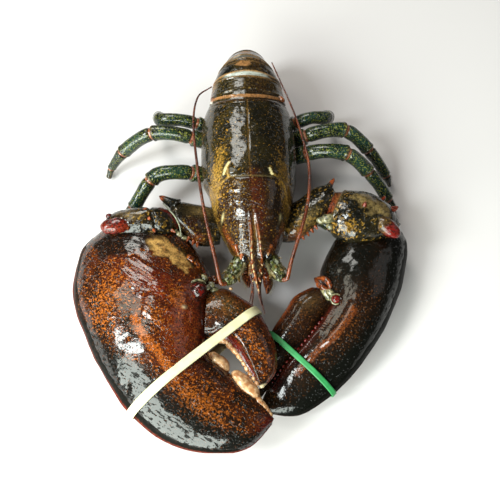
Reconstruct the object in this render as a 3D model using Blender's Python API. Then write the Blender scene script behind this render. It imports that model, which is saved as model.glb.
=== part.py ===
"""American lobster, alive, at rest: a crusher claw and a cutter claw laid in front of the head with a
rubber band round each, eight walking legs, long feelers swept back, and the tail curled under the body.

The head points to -Y, the back is up (+Z), and the animal's own right side is at -X. Lengths below are
millimetres in the model's frame, and the floor is z = 0.
"""
import math
from functools import partial

import bmesh
import bpy
import numpy as np
from mathutils import Vector

MM = 0.001
GAP = 0.35                # clearance kept between two plates that meet
FLOOR = 0.0
SHIFT = (6.59, 0.65)      # moves the model so that the origin is under the middle of its outline
# rings along a piece, and points round each ring
BODY_MESH = (37, 18)
CRUSHER_MESH = (21, 18)
CUTTER_MESH = (19, 18)
THUMB_MESH = (15, 12)
WRIST_MESH = (11, 14)
ARM_MESH = (9, 12)
LEG_MESH = (12, 7)
WHIP_MESH = (24, 5)
STALK_MESH = (8, 10)


# ---------------------------------------------------------------- curves and sections

def smooth(knots, values, at):
    """Cubic through values[i] at knots[i]; the slope at a knot is that between its two neighbours."""
    knots, values = np.asarray(knots, float), np.asarray(values, float)
    at = np.clip(np.asarray(at, float), knots[0], knots[-1])
    flat = values.reshape(len(knots), -1)
    before, after = np.r_[0, np.arange(len(knots) - 1)], np.r_[np.arange(1, len(knots)), len(knots) - 1]
    slopes = (flat[after] - flat[before]) / (knots[after] - knots[before])[:, None]
    i = np.clip(np.searchsorted(knots, at, side="right") - 1, 0, len(knots) - 2)
    span = (knots[i + 1] - knots[i])[:, None]
    t = (at - knots[i])[:, None] / span
    low, high = 2 * t**3 - 3 * t**2 + 1, 3 * t**2 - 2 * t**3
    rise, fall = t**3 - 2 * t**2 + t, t**3 - t**2
    out = low * flat[i] + high * flat[i + 1] + span * (rise * slopes[i] + fall * slopes[i + 1])
    return out.reshape(len(at), *values.shape[1:])


def unit(vectors):
    return vectors / np.maximum(np.linalg.norm(vectors, axis=-1, keepdims=True), 1e-9)


def turn_angles(around):
    return np.arange(around) * 2 * math.pi / around


def rail_rings(stations, along, around, grow=0.0, edges=(2.0, 2.0), knots=None):
    """Rings of a body stretched between a left and a right edge line.

    A station is (left point, right point, height above the mid line, depth below it). The section is an
    ellipse whose left and right edges sharpen as their number in edges goes from 2 down to 1.
    """
    left, right, top, bottom = (np.array([s[i] for s in stations], float) for i in range(4))
    knots = np.linspace(0, 1, len(stations)) if knots is None else np.asarray(knots, float)
    at = np.linspace(0, 1, along)
    left, right = smooth(knots, left, at), smooth(knots, right, at)
    heights, depths = smooth(knots, top, at), smooth(knots, bottom, at)
    middle, half = (left + right) / 2, np.linalg.norm(right - left, axis=1) / 2 + grow
    side = unit(right - left)
    up = unit(np.array([0, 0, 1.0]) - side * side[:, 2:3])
    angle = turn_angles(around)
    across = np.cos(angle)
    power = np.where(across < 0, edges[0], edges[1])
    lift = np.sign(np.sin(angle)) * (1 - np.abs(across) ** 2.2) ** (1 / power)
    reach = np.where(lift > 0, heights[:, None] + grow, depths[:, None] + grow)
    return (middle[:, None] + side[:, None] * (half[:, None] * across)[..., None]
            + up[:, None] * (reach * lift)[..., None])


def tube_rings(points, radii, along, around, grow=0.0, knots=None, tall=1.0):
    """Rings of a limb that follows the points with these radii; tall is its height over its width."""
    points, radii = np.array(points, float), np.array(radii, float)
    if knots is None:
        steps = np.linalg.norm(np.diff(points, axis=0), axis=1)
        knots = np.r_[0, np.cumsum(steps)] / steps.sum()
    at = np.linspace(0, 1, along)
    path, radius = smooth(knots, points, at), smooth(knots, radii, at) + grow
    ahead = unit(np.gradient(path, axis=0))
    side = unit(np.cross(ahead, [0, 0, 1.0]))
    up = np.cross(side, ahead)
    angle = turn_angles(around)
    return (path[:, None] + side[:, None] * (radius[:, None] * np.cos(angle))[..., None]
            + up[:, None] * (radius[:, None] * tall * np.sin(angle))[..., None])


# ---------------------------------------------------------------- meshes, joining and cutting

def material(name, colour, roughness):
    """Wet shell or rubber of one colour."""
    made = bpy.data.materials.get(name) or bpy.data.materials.new(name)
    made.use_nodes = True
    surface = made.node_tree.nodes["Principled BSDF"]
    surface.inputs["Base Color"].default_value = (*colour, 1.0)
    surface.inputs["Roughness"].default_value = roughness
    surface.inputs["Metallic"].default_value = 0.0
    return made


def solid(name, rings, finish=None, loop=False):
    """Closed mesh through the rings; a point closes each end ring, or the last ring meets the first."""
    rings = np.array(rings, float)
    rings[..., 2] = np.maximum(rings[..., 2], FLOOR)
    work = bmesh.new()
    shift = np.array([*SHIFT, 0.0])
    rows = [[work.verts.new((p + shift) * MM) for p in ring] for ring in rings]
    for row, following in zip(rows, rows[1:] + rows[:1] if loop else rows[1:]):
        for i in range(len(row)):
            j = (i + 1) % len(row)
            work.faces.new((row[i], row[j], following[j], following[i]))
    ends = () if loop else (0, -1)
    for end in ends:
        pole = work.verts.new((rings[end].mean(axis=0) + shift) * MM)
        for i in range(len(rows[end])):
            work.faces.new((rows[end][i], rows[end][(i + 1) % len(rows[end])], pole))
    bmesh.ops.recalc_face_normals(work, faces=work.faces)
    mesh = bpy.data.meshes.new(name)
    work.to_mesh(mesh)
    work.free()
    return show(name, mesh, finish)


def show(name, mesh, finish=None):
    made = bpy.data.objects.new(name, mesh)
    bpy.context.scene.collection.objects.link(made)
    if finish:
        made.data.materials.append(finish)
    return made


def spike(foot, tip, width, sides=5):
    """Cone from foot to tip, sunk a little into what it stands on."""
    foot, tip = (Vector(p) + Vector((*SHIFT, 0)) for p in (foot, tip))
    line = tip - foot
    work = bmesh.new()
    bmesh.ops.create_cone(work, cap_ends=True, segments=sides, radius1=width * MM,
                          radius2=0.18 * width * MM, depth=line.length * MM)
    bmesh.ops.transform(work, matrix=line.to_track_quat("Z", "Y").to_matrix().to_4x4(), verts=work.verts)
    bmesh.ops.translate(work, vec=(foot + tip) / 2 * MM, verts=work.verts)
    return helper(work)


def skin_point(rings_of, share, degrees):
    """Point on a body at a share of its length and an angle round it (90 is the top), and its normal."""
    rings = rings_of(61, 72)
    i, j = min(max(round(share * 60), 1), 59), round(degrees / 5) % 72
    normal = np.cross(rings[i + 1, j] - rings[i - 1, j], rings[i, (j + 1) % 72] - rings[i, j - 1])
    outward = rings[i, j] - rings[i].mean(axis=0)
    return rings[i, j], unit(normal * np.sign(normal @ outward))


def thorn(rings_of, share, degrees, length, width, lean=(0, 0, 0), grow=0.0):
    """Spine standing on a body's surface, bent over by lean."""
    point, normal = skin_point(rings_of, share, degrees)
    tip = point + unit(normal + np.array(lean)) * (length + 2 * grow)
    return spike(point - normal * width * 1.4, tip, width + grow)


def boss(rings_of, share, degrees, radii, heading=0.0, grow=0.0):
    """Low round knob on a body's surface."""
    point, normal = skin_point(rings_of, share, degrees)
    return knob(point - normal * 0.25 * radii[2], [radius + grow for radius in radii], heading)


def knob(centre, radii, heading=0.0, rings=5, sides=8):
    """Ellipsoid with half axes radii, turned about Z by heading degrees."""
    work = bmesh.new()
    bmesh.ops.create_uvsphere(work, u_segments=sides, v_segments=rings, radius=MM)
    bmesh.ops.scale(work, vec=radii, verts=work.verts)
    turn = Vector((math.cos(math.radians(heading)), math.sin(math.radians(heading)), 0))
    bmesh.ops.transform(work, matrix=turn.to_track_quat("X", "Z").to_matrix().to_4x4(), verts=work.verts)
    bmesh.ops.translate(work, vec=(Vector(centre) + Vector((*SHIFT, 0))) * MM, verts=work.verts)
    return helper(work)


def helper(work):
    mesh = bpy.data.meshes.new("helper")
    work.to_mesh(mesh)
    work.free()
    made = bpy.data.objects.new("helper", mesh)
    bpy.context.scene.collection.objects.link(made)
    return made


def combine(piece, others, operation):
    """Applies one Boolean of the piece with all the others, and removes them."""
    group = bpy.data.collections.new("operands")
    bpy.context.scene.collection.children.link(group)
    for other in others:
        bpy.context.scene.collection.objects.unlink(other)
        group.objects.link(other)
    cut = piece.modifiers.new("combine", "BOOLEAN")
    cut.operand_type = "COLLECTION"
    cut.collection = group
    cut.operation = operation
    cut.solver = "EXACT"
    bpy.context.view_layer.update()
    finished = bpy.data.meshes.new_from_object(piece.evaluated_get(bpy.context.evaluated_depsgraph_get()))
    piece.modifiers.clear()
    piece.data = finished
    for other in others:
        bpy.data.objects.remove(other)
    bpy.data.collections.remove(group)
    return piece


def fuse(piece, others):
    return combine(piece, others, "UNION")


def clear_of(piece, *ring_sets, trims=()):
    """Cuts the piece back from neighbours, given as rings and trims that were grown by the clearance."""
    return combine(piece, [solid("clearance", rings) for rings in ring_sets] + list(trims), "DIFFERENCE")


# ---------------------------------------------------------------- the animal's shapes, as rings

def carapace_rings(along, around, grow=0.0):
    """Arched shell from its rear edge forward to the tip of the rostrum, leaning back at the rear."""
    # y, centre x, half width, top z, widest z, underside z, lean (y gained per mm below the top)
    stations = np.array([
        (111, -2.4, 36.5, 86.5, 50, 21, 0.36), (104, -2.3, 39.5, 88.2, 50, 18, 0.33),
        (88, -2.0, 43.0, 89.5, 50, 16, 0.25), (67, -1.2, 43.8, 90.0, 50, 15, 0.12),
        (45, -0.4, 42.0, 90.3, 50, 15, 0.0), (38, 0.4, 40.2, 90.0, 50, 15, 0.0),
        (34, 0.9, 38.8, 88.0, 50, 15, 0.0), (30, 1.2, 37.6, 89.0, 50, 15, 0.0),
        (15, 1.8, 33.8, 86.0, 50, 17, -0.05), (0, 2.7, 28.6, 81.5, 50, 21, -0.1),
        (-12, 3.6, 24.0, 76.5, 51, 28, -0.1), (-22, 4.1, 20.6, 71.5, 52, 37, -0.05),
        (-27, 4.3, 17.5, 69.0, 55, 44, 0.0), (-29.5, 4.5, 9.5, 68.0, 61, 55, 0.0),
        (-33, 4.9, 6.2, 67.0, 62.5, 58.5, 0.0), (-38, 5.2, 5.0, 65.8, 62.0, 58.5, 0.0),
        (-44, 5.7, 3.3, 64.6, 61.3, 58.6, 0.0), (-52, 6.4, 2.0, 63.0, 60.5, 58.8, 0.0),
        (-62, 7.4, 0.5, 60.8, 60.3, 59.8, 0.0)])
    count = len(stations)
    rows = smooth(np.arange(count), stations, np.linspace(0, count - 1, along))
    y, x, half, top, widest, under, lean = (rows[:, i:i + 1] for i in range(7))
    angle = turn_angles(around)[None]
    across, lift = np.cos(angle), np.sin(angle)
    lift = np.sign(lift) * (1 - np.abs(across) ** 2.3) ** 0.5
    height = widest + np.where(lift > 0, (top - widest + grow) * lift, (widest - under + grow) * lift)
    inward = np.where(lift < 0, 1 - 0.14 * lift**2, 1.0)
    return np.stack([x + (half + grow) * across * inward, y + lean * (top - height), height], axis=-1)


def tail_frame(at):
    """Back line of the tail at arc lengths: point, direction and the way inward, in the Y-Z plane."""
    at = np.asarray(at, float)
    straight, radius, pivot = 32.0, 42.0, np.array([144.0, 42.0])
    angle = (at - straight) / radius
    bend = np.maximum(angle, 0)
    point = pivot + radius * np.stack([np.sin(bend), np.cos(bend)], axis=-1)
    point[:, 0] += np.minimum(at - straight, 0)
    ahead = np.stack([np.cos(bend), -np.sin(bend)], axis=-1)
    lean = np.where(angle < 0, np.radians(20) * np.clip(-(at - straight) / straight, 0, 1), 0)
    inward = np.stack([np.sin(lean) - np.cos(lean) * np.sin(bend), -np.cos(bend) * np.cos(lean)], axis=-1)
    return point, ahead, unit(inward)


TAIL_CUTS = (0.5, 6.0, 27.0, 48.0, 72.0, 98.0, 130.0)


def tail_rings(part, along, around, grow=0.0):
    """Rings of one tail segment: an arched back, side plates that hang to points, and a flat underside."""
    start, end = TAIL_CUTS[part] + 0.2, TAIL_CUTS[part + 1] - 0.2
    share = np.linspace(0, 1, along)
    at = start + (end - start) * share
    point, ahead, inward = tail_frame(at)
    half = smooth([0, 27, 48, 72, 98, 130], [35.5, 32.5, 27.5, 22.2, 19.2, 17.0], at)[:, None] + grow
    depth = smooth([0, 27, 72, 98, 130], [33, 33, 31, 28, 21], at)[:, None]
    arch = 0.76 * depth
    rim = 0.9 * np.clip((share - 0.7) / 0.3, 0, 1)[:, None]
    angle = turn_angles(around)[None]
    across, lift = np.cos(angle), np.sin(angle)
    lobe = np.exp(-((np.abs(across) - 0.86) / 0.16) ** 2) * (lift < -0.1)
    lobe = lobe * (4.5 * np.sin(np.pi * np.clip(share * 0.8 + 0.12, 0, 1)))[:, None]
    lift = np.sign(lift) * (1 - np.abs(across) ** 2) ** np.where(lift > 0, 0.5, 0.3)
    deep = arch - np.where(lift > 0, (arch + grow + rim) * lift, (depth - arch + grow) * lift) + lobe
    centre = -2.3 - 0.02 * at[:, None]
    yz = point[:, None] + inward[:, None] * deep[..., None]
    return np.stack([centre + half * across, yz[..., 0], yz[..., 1]], axis=-1)


def fan_rings(offset, splay, length, width, level, along, around):
    """Flat plate of the tail fan: it leaves the tail, turns down to the floor and lies forward under it."""
    share = np.linspace(0, 1, along)
    back = smooth([0, 0.12, 0.3, 1.0], [0, 9, 22, length], share)
    base = smooth([0, 0.12, 0.3, 1.0], [12.5, 6.0, 0.6, 0.0], share) + level
    half = width * smooth([0, 0.25, 0.7, 0.93, 1.0], [0.42, 0.46, 0.5, 0.36, 0.05], share)
    thick = smooth([0, 0.3, 0.8, 1.0], [3.4, 3.0, 2.2, 0.8], share)
    angle = turn_angles(around)[None]
    middle = offset + splay * back[:, None]
    x = -5.0 + middle + half[:, None] * np.cos(angle)
    y = 168.5 - 1.1 * level - back[:, None] + 0.35 * splay * half[:, None] * np.cos(angle)
    z = base[:, None] + thick[:, None] * (0.5 + 0.5 * np.sin(angle))
    return np.stack([x, y, z], axis=-1)


CRUSHER_PALM = [
    ((-133.5, 2.9, 33), (-63.5, 1.9, 33), 19, 18), ((-151.0, -13.6, 33), (-46.7, -15.6, 33), 28, 27),
    ((-156.5, -45.7, 33), (-32.7, -42.9, 33), 33, 34), ((-151.2, -68.5, 33), (-36.5, -68.5, 33), 34, 34),
    ((-136.3, -99.3, 33), (-37.6, -93.3, 33), 32, 31), ((-118.6, -129.8, 34), (-34.5, -107.5, 34), 28, 27),
    ((-98.5, -155.9, 35), (-19.5, -121.0, 35), 23, 23), ((-68.7, -178.0, 36), (-5.5, -135.1, 36), 18, 18),
    ((-35.0, -187.5, 38), (6.0, -145.5, 38), 13, 13), ((-2.0, -184.0, 39), (13.8, -153.7, 39), 9, 9),
    ((17.0, -165.5, 40), (19.3, -161.3, 40), 1.5, 1.5)]
CRUSHER_KNOTS = (0, .10, .22, .35, .48, .58, .68, .78, .88, .95, 1)
CRUSHER_THUMB = [
    ((-38.5, -96.0, 36), (-36.5, -53.3, 36), 14, 14), ((-31.4, -96.6, 36), (-21, -51.3, 37), 15, 15),
    ((-23.3, -96.6, 37), (-6.1, -60.4, 37), 15, 14), ((-16.1, -102.6, 37), (6.0, -70.2, 38), 14.5, 13.5),
    ((-10.9, -108.6, 38), (14.5, -85.3, 38), 13.5, 12.5),
    ((-5.4, -117.0, 38), (21.6, -103.4, 39), 11.5, 11), ((1.7, -128.7, 39), (21.3, -123.0, 39), 7.5, 7),
    ((9.0, -137.1, 40), (10.6, -136.2, 40), 1.5, 1.5)]
CUTTER_PALM = [
    ((76.9, -1.2, 26), (139.9, 6.8, 26), 16, 15), ((68.0, -17.8, 26), (143.4, -6.1, 26), 23, 22),
    ((62.8, -34.0, 26), (137.3, -35.0, 26), 26, 27), ((67.3, -57.4, 26), (130.2, -55.5, 25), 25, 26.5),
    ((59.4, -78.3, 25), (116.7, -82.7, 24), 21, 22), ((45.8, -93.4, 22), (100.4, -106.5, 22), 17, 17),
    ((31.7, -108.2, 17), (80.3, -129.5, 18), 13, 13.5), ((22.1, -121.0, 13), (60.2, -145.3, 15), 10, 11),
    ((15.2, -132.8, 10), (38.2, -155.1, 12), 7, 7.5), ((6.3, -151.0, 9), (7.1, -152.6, 9), 1.5, 1.5)]
CUTTER_KNOTS = (0, .10, .22, .34, .46, .58, .70, .80, .90, 1)
CUTTER_THUMB = [
    ((58.0, -46.5, 27), (67.0, -54.0, 27), 6, 6), ((51.0, -48.6, 27), (70.6, -62.0, 27), 11, 11),
    ((38.1, -55.5, 26), (63.1, -73.8, 26), 12.5, 12.5), ((32.3, -64.3, 24), (52.0, -89.0, 24), 12, 12),
    ((25.1, -74.4, 21), (43.1, -98.6, 21), 11, 11), ((19.4, -83.0, 18), (32.5, -109.0, 18), 9.5, 9.5),
    ((13.8, -97.8, 14), (25.5, -117.6, 14), 7.5, 7.5), ((10.2, -119.3, 10), (18.6, -127.8, 10), 5, 5),
    ((8.0, -140.0, 8), (8.8, -140.6, 8), 1, 1)]


def crusher_palm(along, around, grow=0.0):
    return rail_rings(CRUSHER_PALM, along, around, grow, (1.5, 2.0), CRUSHER_KNOTS)


def crusher_thumb(along, around, grow=0.0):
    return rail_rings(CRUSHER_THUMB, along, around, grow, (1.7, 2.0))


def cutter_palm(along, around, grow=0.0):
    return rail_rings(CUTTER_PALM, along, around, grow, (1.9, 1.5), CUTTER_KNOTS)


def cutter_thumb(along, around, grow=0.0):
    return rail_rings(CUTTER_THUMB, along, around, grow, (2.0, 1.5))


def crusher_wrist(along, around, grow=0.0):
    """Carpus of the crusher arm, a knuckle lying across above the root of the palm."""
    stations = [
        ((-62.0, 3.0, 46), (-67.0, 17.0, 46), 10, 10), ((-72.0, -9.0, 47), (-77.0, 20.0, 47), 18, 18),
        ((-90.0, -14.0, 47), (-91.0, 20.5, 47), 19, 22), ((-108.0, -14.0, 46), (-110.0, 19.0, 46), 19, 22),
        ((-122.0, -9.0, 45), (-124.0, 14.0, 45), 15, 16), ((-131.0, 0.0, 44), (-131.5, 7.0, 44), 5, 5)]
    return rail_rings(stations, along, around, grow)


def cutter_wrist(along, around, grow=0.0):
    """Carpus of the cutter arm."""
    stations = [
        ((66.0, 18.0, 46), (75.0, 38.0, 46), 12, 12), ((73.0, -3.0, 47), (93.0, 38.0, 47), 18, 18),
        ((88.0, -11.0, 47), (111.0, 34.5, 47), 19, 20), ((107.0, -10.0, 46), (127.0, 22.0, 46), 16, 18),
        ((123.0, -5.5, 44), (134.5, 7.0, 44), 6, 7)]
    return rail_rings(stations, along, around, grow)


def crusher_arm(along, around, grow=0.0):
    """Merus of the crusher arm, from the body out to the wrist."""
    stations = [
        ((-27.0, -8.0, 36), (-27.0, 24.0, 36), 10, 10), ((-40.0, -10.6, 38), (-41.0, 27.0, 38), 15, 15),
        ((-50.0, -8.7, 41), (-57.0, 28.5, 41), 17, 16), ((-60.0, -0.5, 44), (-68.0, 27.0, 44), 16, 14),
        ((-67.0, 6.0, 46), (-72.0, 22.0, 46), 11, 10)]
    return rail_rings(stations, along, around, grow)


def cutter_arm(along, around, grow=0.0):
    """Merus of the cutter arm."""
    stations = [
        ((28.0, -6.0, 36), (28.0, 26.0, 36), 10, 10), ((41.0, -5.8, 38), (42.0, 32.0, 38), 15, 15),
        ((54.0, 2.5, 41), (57.0, 42.0, 41), 17, 16), ((64.0, 11.0, 44), (69.0, 45.0, 44), 16, 14),
        ((71.0, 18.0, 46), (77.0, 38.0, 46), 11, 10)]
    return rail_rings(stations, along, around, grow)


# Path of each leg from the body to its tip, and its radius at those points.
LEGS = {
    "left_second": (
        [(24, 32, 18), (44, 30, 16), (64, 25, 13), (80, 18, 8), (92, 13, 3.2), (98, 10, 1.0)],
        (6, 5.6, 4.8, 4.2, 2.6, 0.6)),
    "right_second": (
        [(-24, 32, 18), (-44, 30, 16), (-64, 27, 13), (-80, 22, 8), (-92, 20, 3.2), (-98, 19, 1.0)],
        (6, 5.6, 4.8, 4.2, 2.6, 0.6)),
    "left_third": (
        [(24, 80, 22), (47, 80, 40), (72, 79, 50), (93, 76, 47), (118, 59, 30), (135, 41, 12),
         (140, 32, 1.4)],
        (8.0, 7.2, 6.8, 6.8, 6.0, 4.6, 1.2)),
    "right_third": (
        [(-24, 62, 22), (-47, 60, 40), (-68, 57, 50), (-87, 54, 47), (-107, 33, 29), (-117, 22, 13),
         (-121, 16, 1.4)],
        (8.0, 7.2, 6.8, 6.8, 6.0, 4.6, 1.2)),
    "left_fourth": (
        [(24, 97, 23), (47, 97, 42), (72, 100, 51), (92, 101, 48), (116, 88, 30), (133, 73, 11),
         (138, 67, 1.4)],
        (8.0, 7.0, 6.6, 6.6, 5.8, 4.4, 1.2)),
    "right_fourth": (
        [(-24, 97, 23), (-47, 95, 42), (-72, 97, 51), (-94, 98, 48), (-117, 91, 30), (-134, 79, 11),
         (-139, 73, 1.4)],
        (8.0, 7.0, 6.6, 6.6, 5.8, 4.4, 1.2)),
    "left_fifth": (
        [(24, 112, 24), (44, 115, 40), (58, 117, 46), (71, 119, 43), (78, 131, 24), (81, 141, 1.4)],
        (7.4, 6.4, 6.0, 6.0, 5.0, 1.2)),
    "right_fifth": (
        [(-24, 112, 24), (-46, 112, 41), (-66, 114, 47), (-84, 116, 44), (-90, 130, 25), (-92, 141, 1.4)],
        (7.4, 6.4, 6.0, 6.2, 5.0, 1.2)),
}


def leg_rings(name, along, around, grow=0.0):
    points, radii = LEGS[name]
    return tube_rings(points, radii, along, around, grow, tall=1.15)


def feeler_base(side, along, around, grow=0.0):
    """Thick jointed stalk of a feeler, pointing forward and outward from beside the rostrum."""
    if side < 0:
        path, radii = [(-6, -24, 50), (-11, -34, 50), (-16, -44, 51), (-21, -50, 53)], (6.6, 7, 6.3, 3.6)
    else:
        path, radii = [(16, -22, 50), (20, -32, 50), (24, -41, 51), (28.5, -46.5, 53)], (6.6, 7, 6.3, 3.6)
    return tube_rings(path, radii, along, around, grow)


def feeler_whip(side, along, around, grow=0.0):
    """Long thin whip that turns back from its stalk over the body's side."""
    if side < 0:
        path = [(-20.5, -51.5, 54), (-24.5, -51.5, 57), (-28, -38, 64), (-38.5, 5, 76), (-46, 50, 80),
                (-50.5, 95, 78), (-47, 121, 76), (-35, 132, 75)]
    else:
        path = [(28, -48, 54), (31.5, -47.5, 57), (34.5, -36, 63), (48.5, 10, 77), (51, 48, 80),
                (45, 80, 80), (37.6, 108, 78), (20, 152, 84)]
    return tube_rings(path, (1.9, 1.8, 1.7, 1.4, 1.2, 1.0, 0.8, 0.5), along, around, grow)


def mouth_leg(side, along, around, grow=0.0):
    """Third maxilliped, folded forward under the head."""
    path = [(4 + 9 * side, -14, 33), (4 + 11 * side, -30, 34), (4 + 12 * side, -46, 35),
            (4 + 9 * side, -55, 37)]
    return tube_rings(path, (5.5, 5.0, 4.2, 1.0), along, around, grow)


def small_feeler(side, along, around, branch=0):
    """Antennule: a short stem under the rostrum with two fine branches."""
    middle = 5 + 4.2 * side
    if branch == 0:
        path, radii = [(middle, -26, 54), (middle, -36, 54), (middle + side, -44, 54)], (2.6, 2.4, 1.4)
    elif branch == 1:
        path = [(middle + 0.6 * side, -41, 54), (middle + 3 * side, -55, 55),
                (middle + 6 * side, -68, 56)]
        radii = (1.1, 0.9, 0.5)
    else:
        path = [(middle + 0.2 * side, -41, 54), (middle - 0.6 * side, -53, 52),
                (middle + 2 * side, -66, 50)]
        radii = (1.1, 0.8, 0.5)
    return tube_rings(path, radii, along, around)


def band_rings(surfaces, near, far, level, steps, width, thick=1.3, clearance=0.6):
    """Rubber band pulled tight round the given surfaces, in the upright plane through near and far.

    Each edge of the band is the convex outline of the surface points close to that edge, pushed out by the
    clearance; the outline comes from the farthest point in each of many directions.
    """
    near, far = np.array([*near, level], float), np.array([*far, level], float)
    along = unit(far - near)
    normal = np.cross(along, [0, 0, 1.0])
    points = np.concatenate([s.reshape(-1, 3) for s in surfaces]) - (near + far) / 2
    offset = points @ normal
    flat = np.stack([points @ along, points[:, 2]], axis=1)
    turns = turn_angles(144)
    ways = np.stack([np.cos(turns), np.sin(turns)], axis=1)
    edges = []
    for side in (-1, 1):
        close = np.abs(offset - side * width / 4) < width / 4 + 2.0
        reach = (flat[close] @ ways.T).max(axis=0) + clearance
        ahead = np.roll(reach, -1)
        turn = turns[1]
        slide = (ahead - reach * math.cos(turn)) / math.sin(turn)
        outline = ways * reach[:, None] + np.stack([-ways[:, 1], ways[:, 0]], axis=1) * slide[:, None]
        closed = np.concatenate([outline, outline[:1]])
        travelled = np.r_[0, np.cumsum(np.linalg.norm(np.diff(closed, axis=0), axis=1))]
        wanted = np.linspace(0, travelled[-1], steps, endpoint=False)
        edges.append(np.stack([np.interp(wanted, travelled, closed[:, i]) for i in (0, 1)], axis=1))
    rings = []
    for side, edge in zip((-1, 1), edges):
        outward = np.roll(edge, -1, axis=0) - np.roll(edge, 1, axis=0)
        outward = unit(np.stack([outward[:, 1], -outward[:, 0]], axis=1))
        for push in ((0, thick) if side < 0 else (thick, 0)):
            line = edge + outward * push
            rings.append((near + far) / 2 + line[:, :1] * along + line[:, 1:] * np.array([0, 0, 1.0])
                         + side * width / 2 * normal)
    return np.stack(rings, axis=1)


# ---------------------------------------------------------------- the build

for leftover in list(bpy.data.objects):
    bpy.data.objects.remove(leftover)

BACK = material("shell_back", (0.055, 0.045, 0.022), 0.3)
CRUSHER = material("shell_crusher", (0.075, 0.03, 0.016), 0.22)
CUTTER = material("shell_cutter", (0.05, 0.028, 0.018), 0.22)
ARM = material("shell_arm", (0.06, 0.05, 0.022), 0.3)
LEG = material("shell_leg", (0.03, 0.055, 0.045), 0.3)
TAIL = material("shell_tail", (0.06, 0.05, 0.025), 0.3)
FEELER = material("feeler_shell", (0.16, 0.04, 0.015), 0.35)
EYE = material("eye_black", (0.006, 0.005, 0.005), 0.08)
YELLOW = material("band_yellow", (0.9, 0.87, 0.5), 0.5)
GREEN = material("band_green", (0.05, 0.5, 0.17), 0.5)

# Body shell: carapace with the rostrum, its side spines and the spines behind the eyes.
carapace = solid("carapace", carapace_rings(*BODY_MESH), BACK)
fuse(carapace, [
    spike((1.0, -30, 65), (-2.2, -37, 66.5), 2.0), spike((9.5, -30, 65), (12.4, -37, 66.5), 2.0),
    spike((2.2, -38, 64), (-0.6, -45, 65), 1.8), spike((9.6, -38, 64), (12.0, -45, 65), 1.8),
    spike((4.0, -46, 62.5), (2.0, -53, 63.5), 1.5), spike((8.8, -46, 62.5), (10.8, -53, 63.5), 1.5),
    spike((-12.5, -20, 66), (-12.8, -31, 66), 2.4), spike((18.5, -20, 66), (19.6, -31, 66), 2.4)])

# Tail: six segments, then the tail fan of telson and four uropods, folded under.
for number, word in enumerate(("one", "two", "three", "four", "five", "six")):
    segment = solid("pleonite_" + word, tail_rings(number, 5, 18), TAIL)
    if number == 0:
        clear_of(segment, carapace_rings(*BODY_MESH, GAP))
solid("telson", fan_rings(0, 0, 66, 32, 0.0, 7, 10), TAIL)
solid("uropod_left_inner", fan_rings(13, 0.10, 62, 25, 3.9, 7, 10), TAIL)
solid("uropod_right_inner", fan_rings(-13, -0.10, 62, 25, 3.9, 7, 10), TAIL)
solid("uropod_left_outer", fan_rings(14, 0.26, 55, 24, 7.8, 7, 10), TAIL)
solid("uropod_right_outer", fan_rings(-14, -0.26, 55, 24, 7.8, 7, 10), TAIL)

# Great claws. The crusher has blunt molars and a row of beads; the cutter has a row of small beads.
crusher = solid("crusher_propodus", crusher_palm(*CRUSHER_MESH), CRUSHER)
fuse(crusher, [
    knob((-43.5, -57.5, 53), (7.5, 7.0, 6.0)),
    knob((-26.0, -115.5, 38), (11.0, 5.5, 6.5), -40), knob((-4.0, -134.5, 38), (15.0, 6.5, 7.0), -46),
    knob((11.0, -151.5, 39), (3.4, 2.8, 3.4), -50), knob((14.5, -156.0, 39), (3.0, 2.4, 3.0), -50)])


def cutter_beads(grow=0.0):
    """Hinge knob of the cutter, and the beads along its biting edge."""
    beads = [boss(cutter_palm, share, 158, (2.6, 2.0, 2.4), -48, grow)
             for share in (0.5, 0.57, 0.64, 0.71, 0.78)]
    return beads + [boss(cutter_palm, 0.36, 145, (5.5, 5.5, 5.0), 0, grow)]


cutter = solid("cutter_propodus", cutter_palm(*CUTTER_MESH), CUTTER)
fuse(cutter, cutter_beads())

thumb = solid("crusher_dactyl", crusher_thumb(*THUMB_MESH), CRUSHER)
fuse(thumb, [
    knob((-27.5, -95.0, 37), (5.0, 4.0, 5.0), 5), knob((-19.0, -99.0, 38), (4.5, 3.6, 4.5), -30),
    knob((-12.5, -106.0, 38), (4.2, 3.3, 4.2), -50), knob((-7.5, -113.5, 38), (3.8, 3.0, 3.8), -55),
    knob((-2.5, -121.5, 39), (3.2, 2.6, 3.2), -55)])
clear_of(thumb, crusher_palm(*CRUSHER_MESH, GAP))
nipper = solid("cutter_dactyl", cutter_thumb(*THUMB_MESH), CUTTER)
clear_of(nipper, cutter_palm(*CUTTER_MESH, GAP), trims=cutter_beads(GAP))

# Arms: carpus and merus of each great claw, spined along the inner edge and at the far corner.


def wrist_spines(rings_of, inward, wide, grow=0.0):
    """Four spines of a carpus, and the big smooth knob at its outer corner."""
    return [thorn(rings_of, 0.13, 150, 8, 3.2, (0.3 * inward, -0.3, 0.2), grow),
            thorn(rings_of, 0.32, 138, 9, 3.4, (0.3 * inward, -0.4, 0.3), grow),
            thorn(rings_of, 0.56, 132, 8, 3.2, (0.2 * inward, -0.4, 0.3), grow),
            thorn(rings_of, 0.36, 95, 6, 2.8, (0.4 * inward, 0, 0), grow),
            boss(rings_of, 0.76, 100, wide, 12 * inward, grow)]


def arm_spines(rings_of, inward):
    """Three spines of a merus."""
    return [thorn(rings_of, 0.82, 40, 10, 4.4, (-0.5 * inward, 0.5, 0)),
            thorn(rings_of, 0.66, 140, 8, 3.2, (0, -0.6, 0)),
            thorn(rings_of, 0.42, 140, 7, 2.8, (0, -0.6, 0))]


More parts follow.
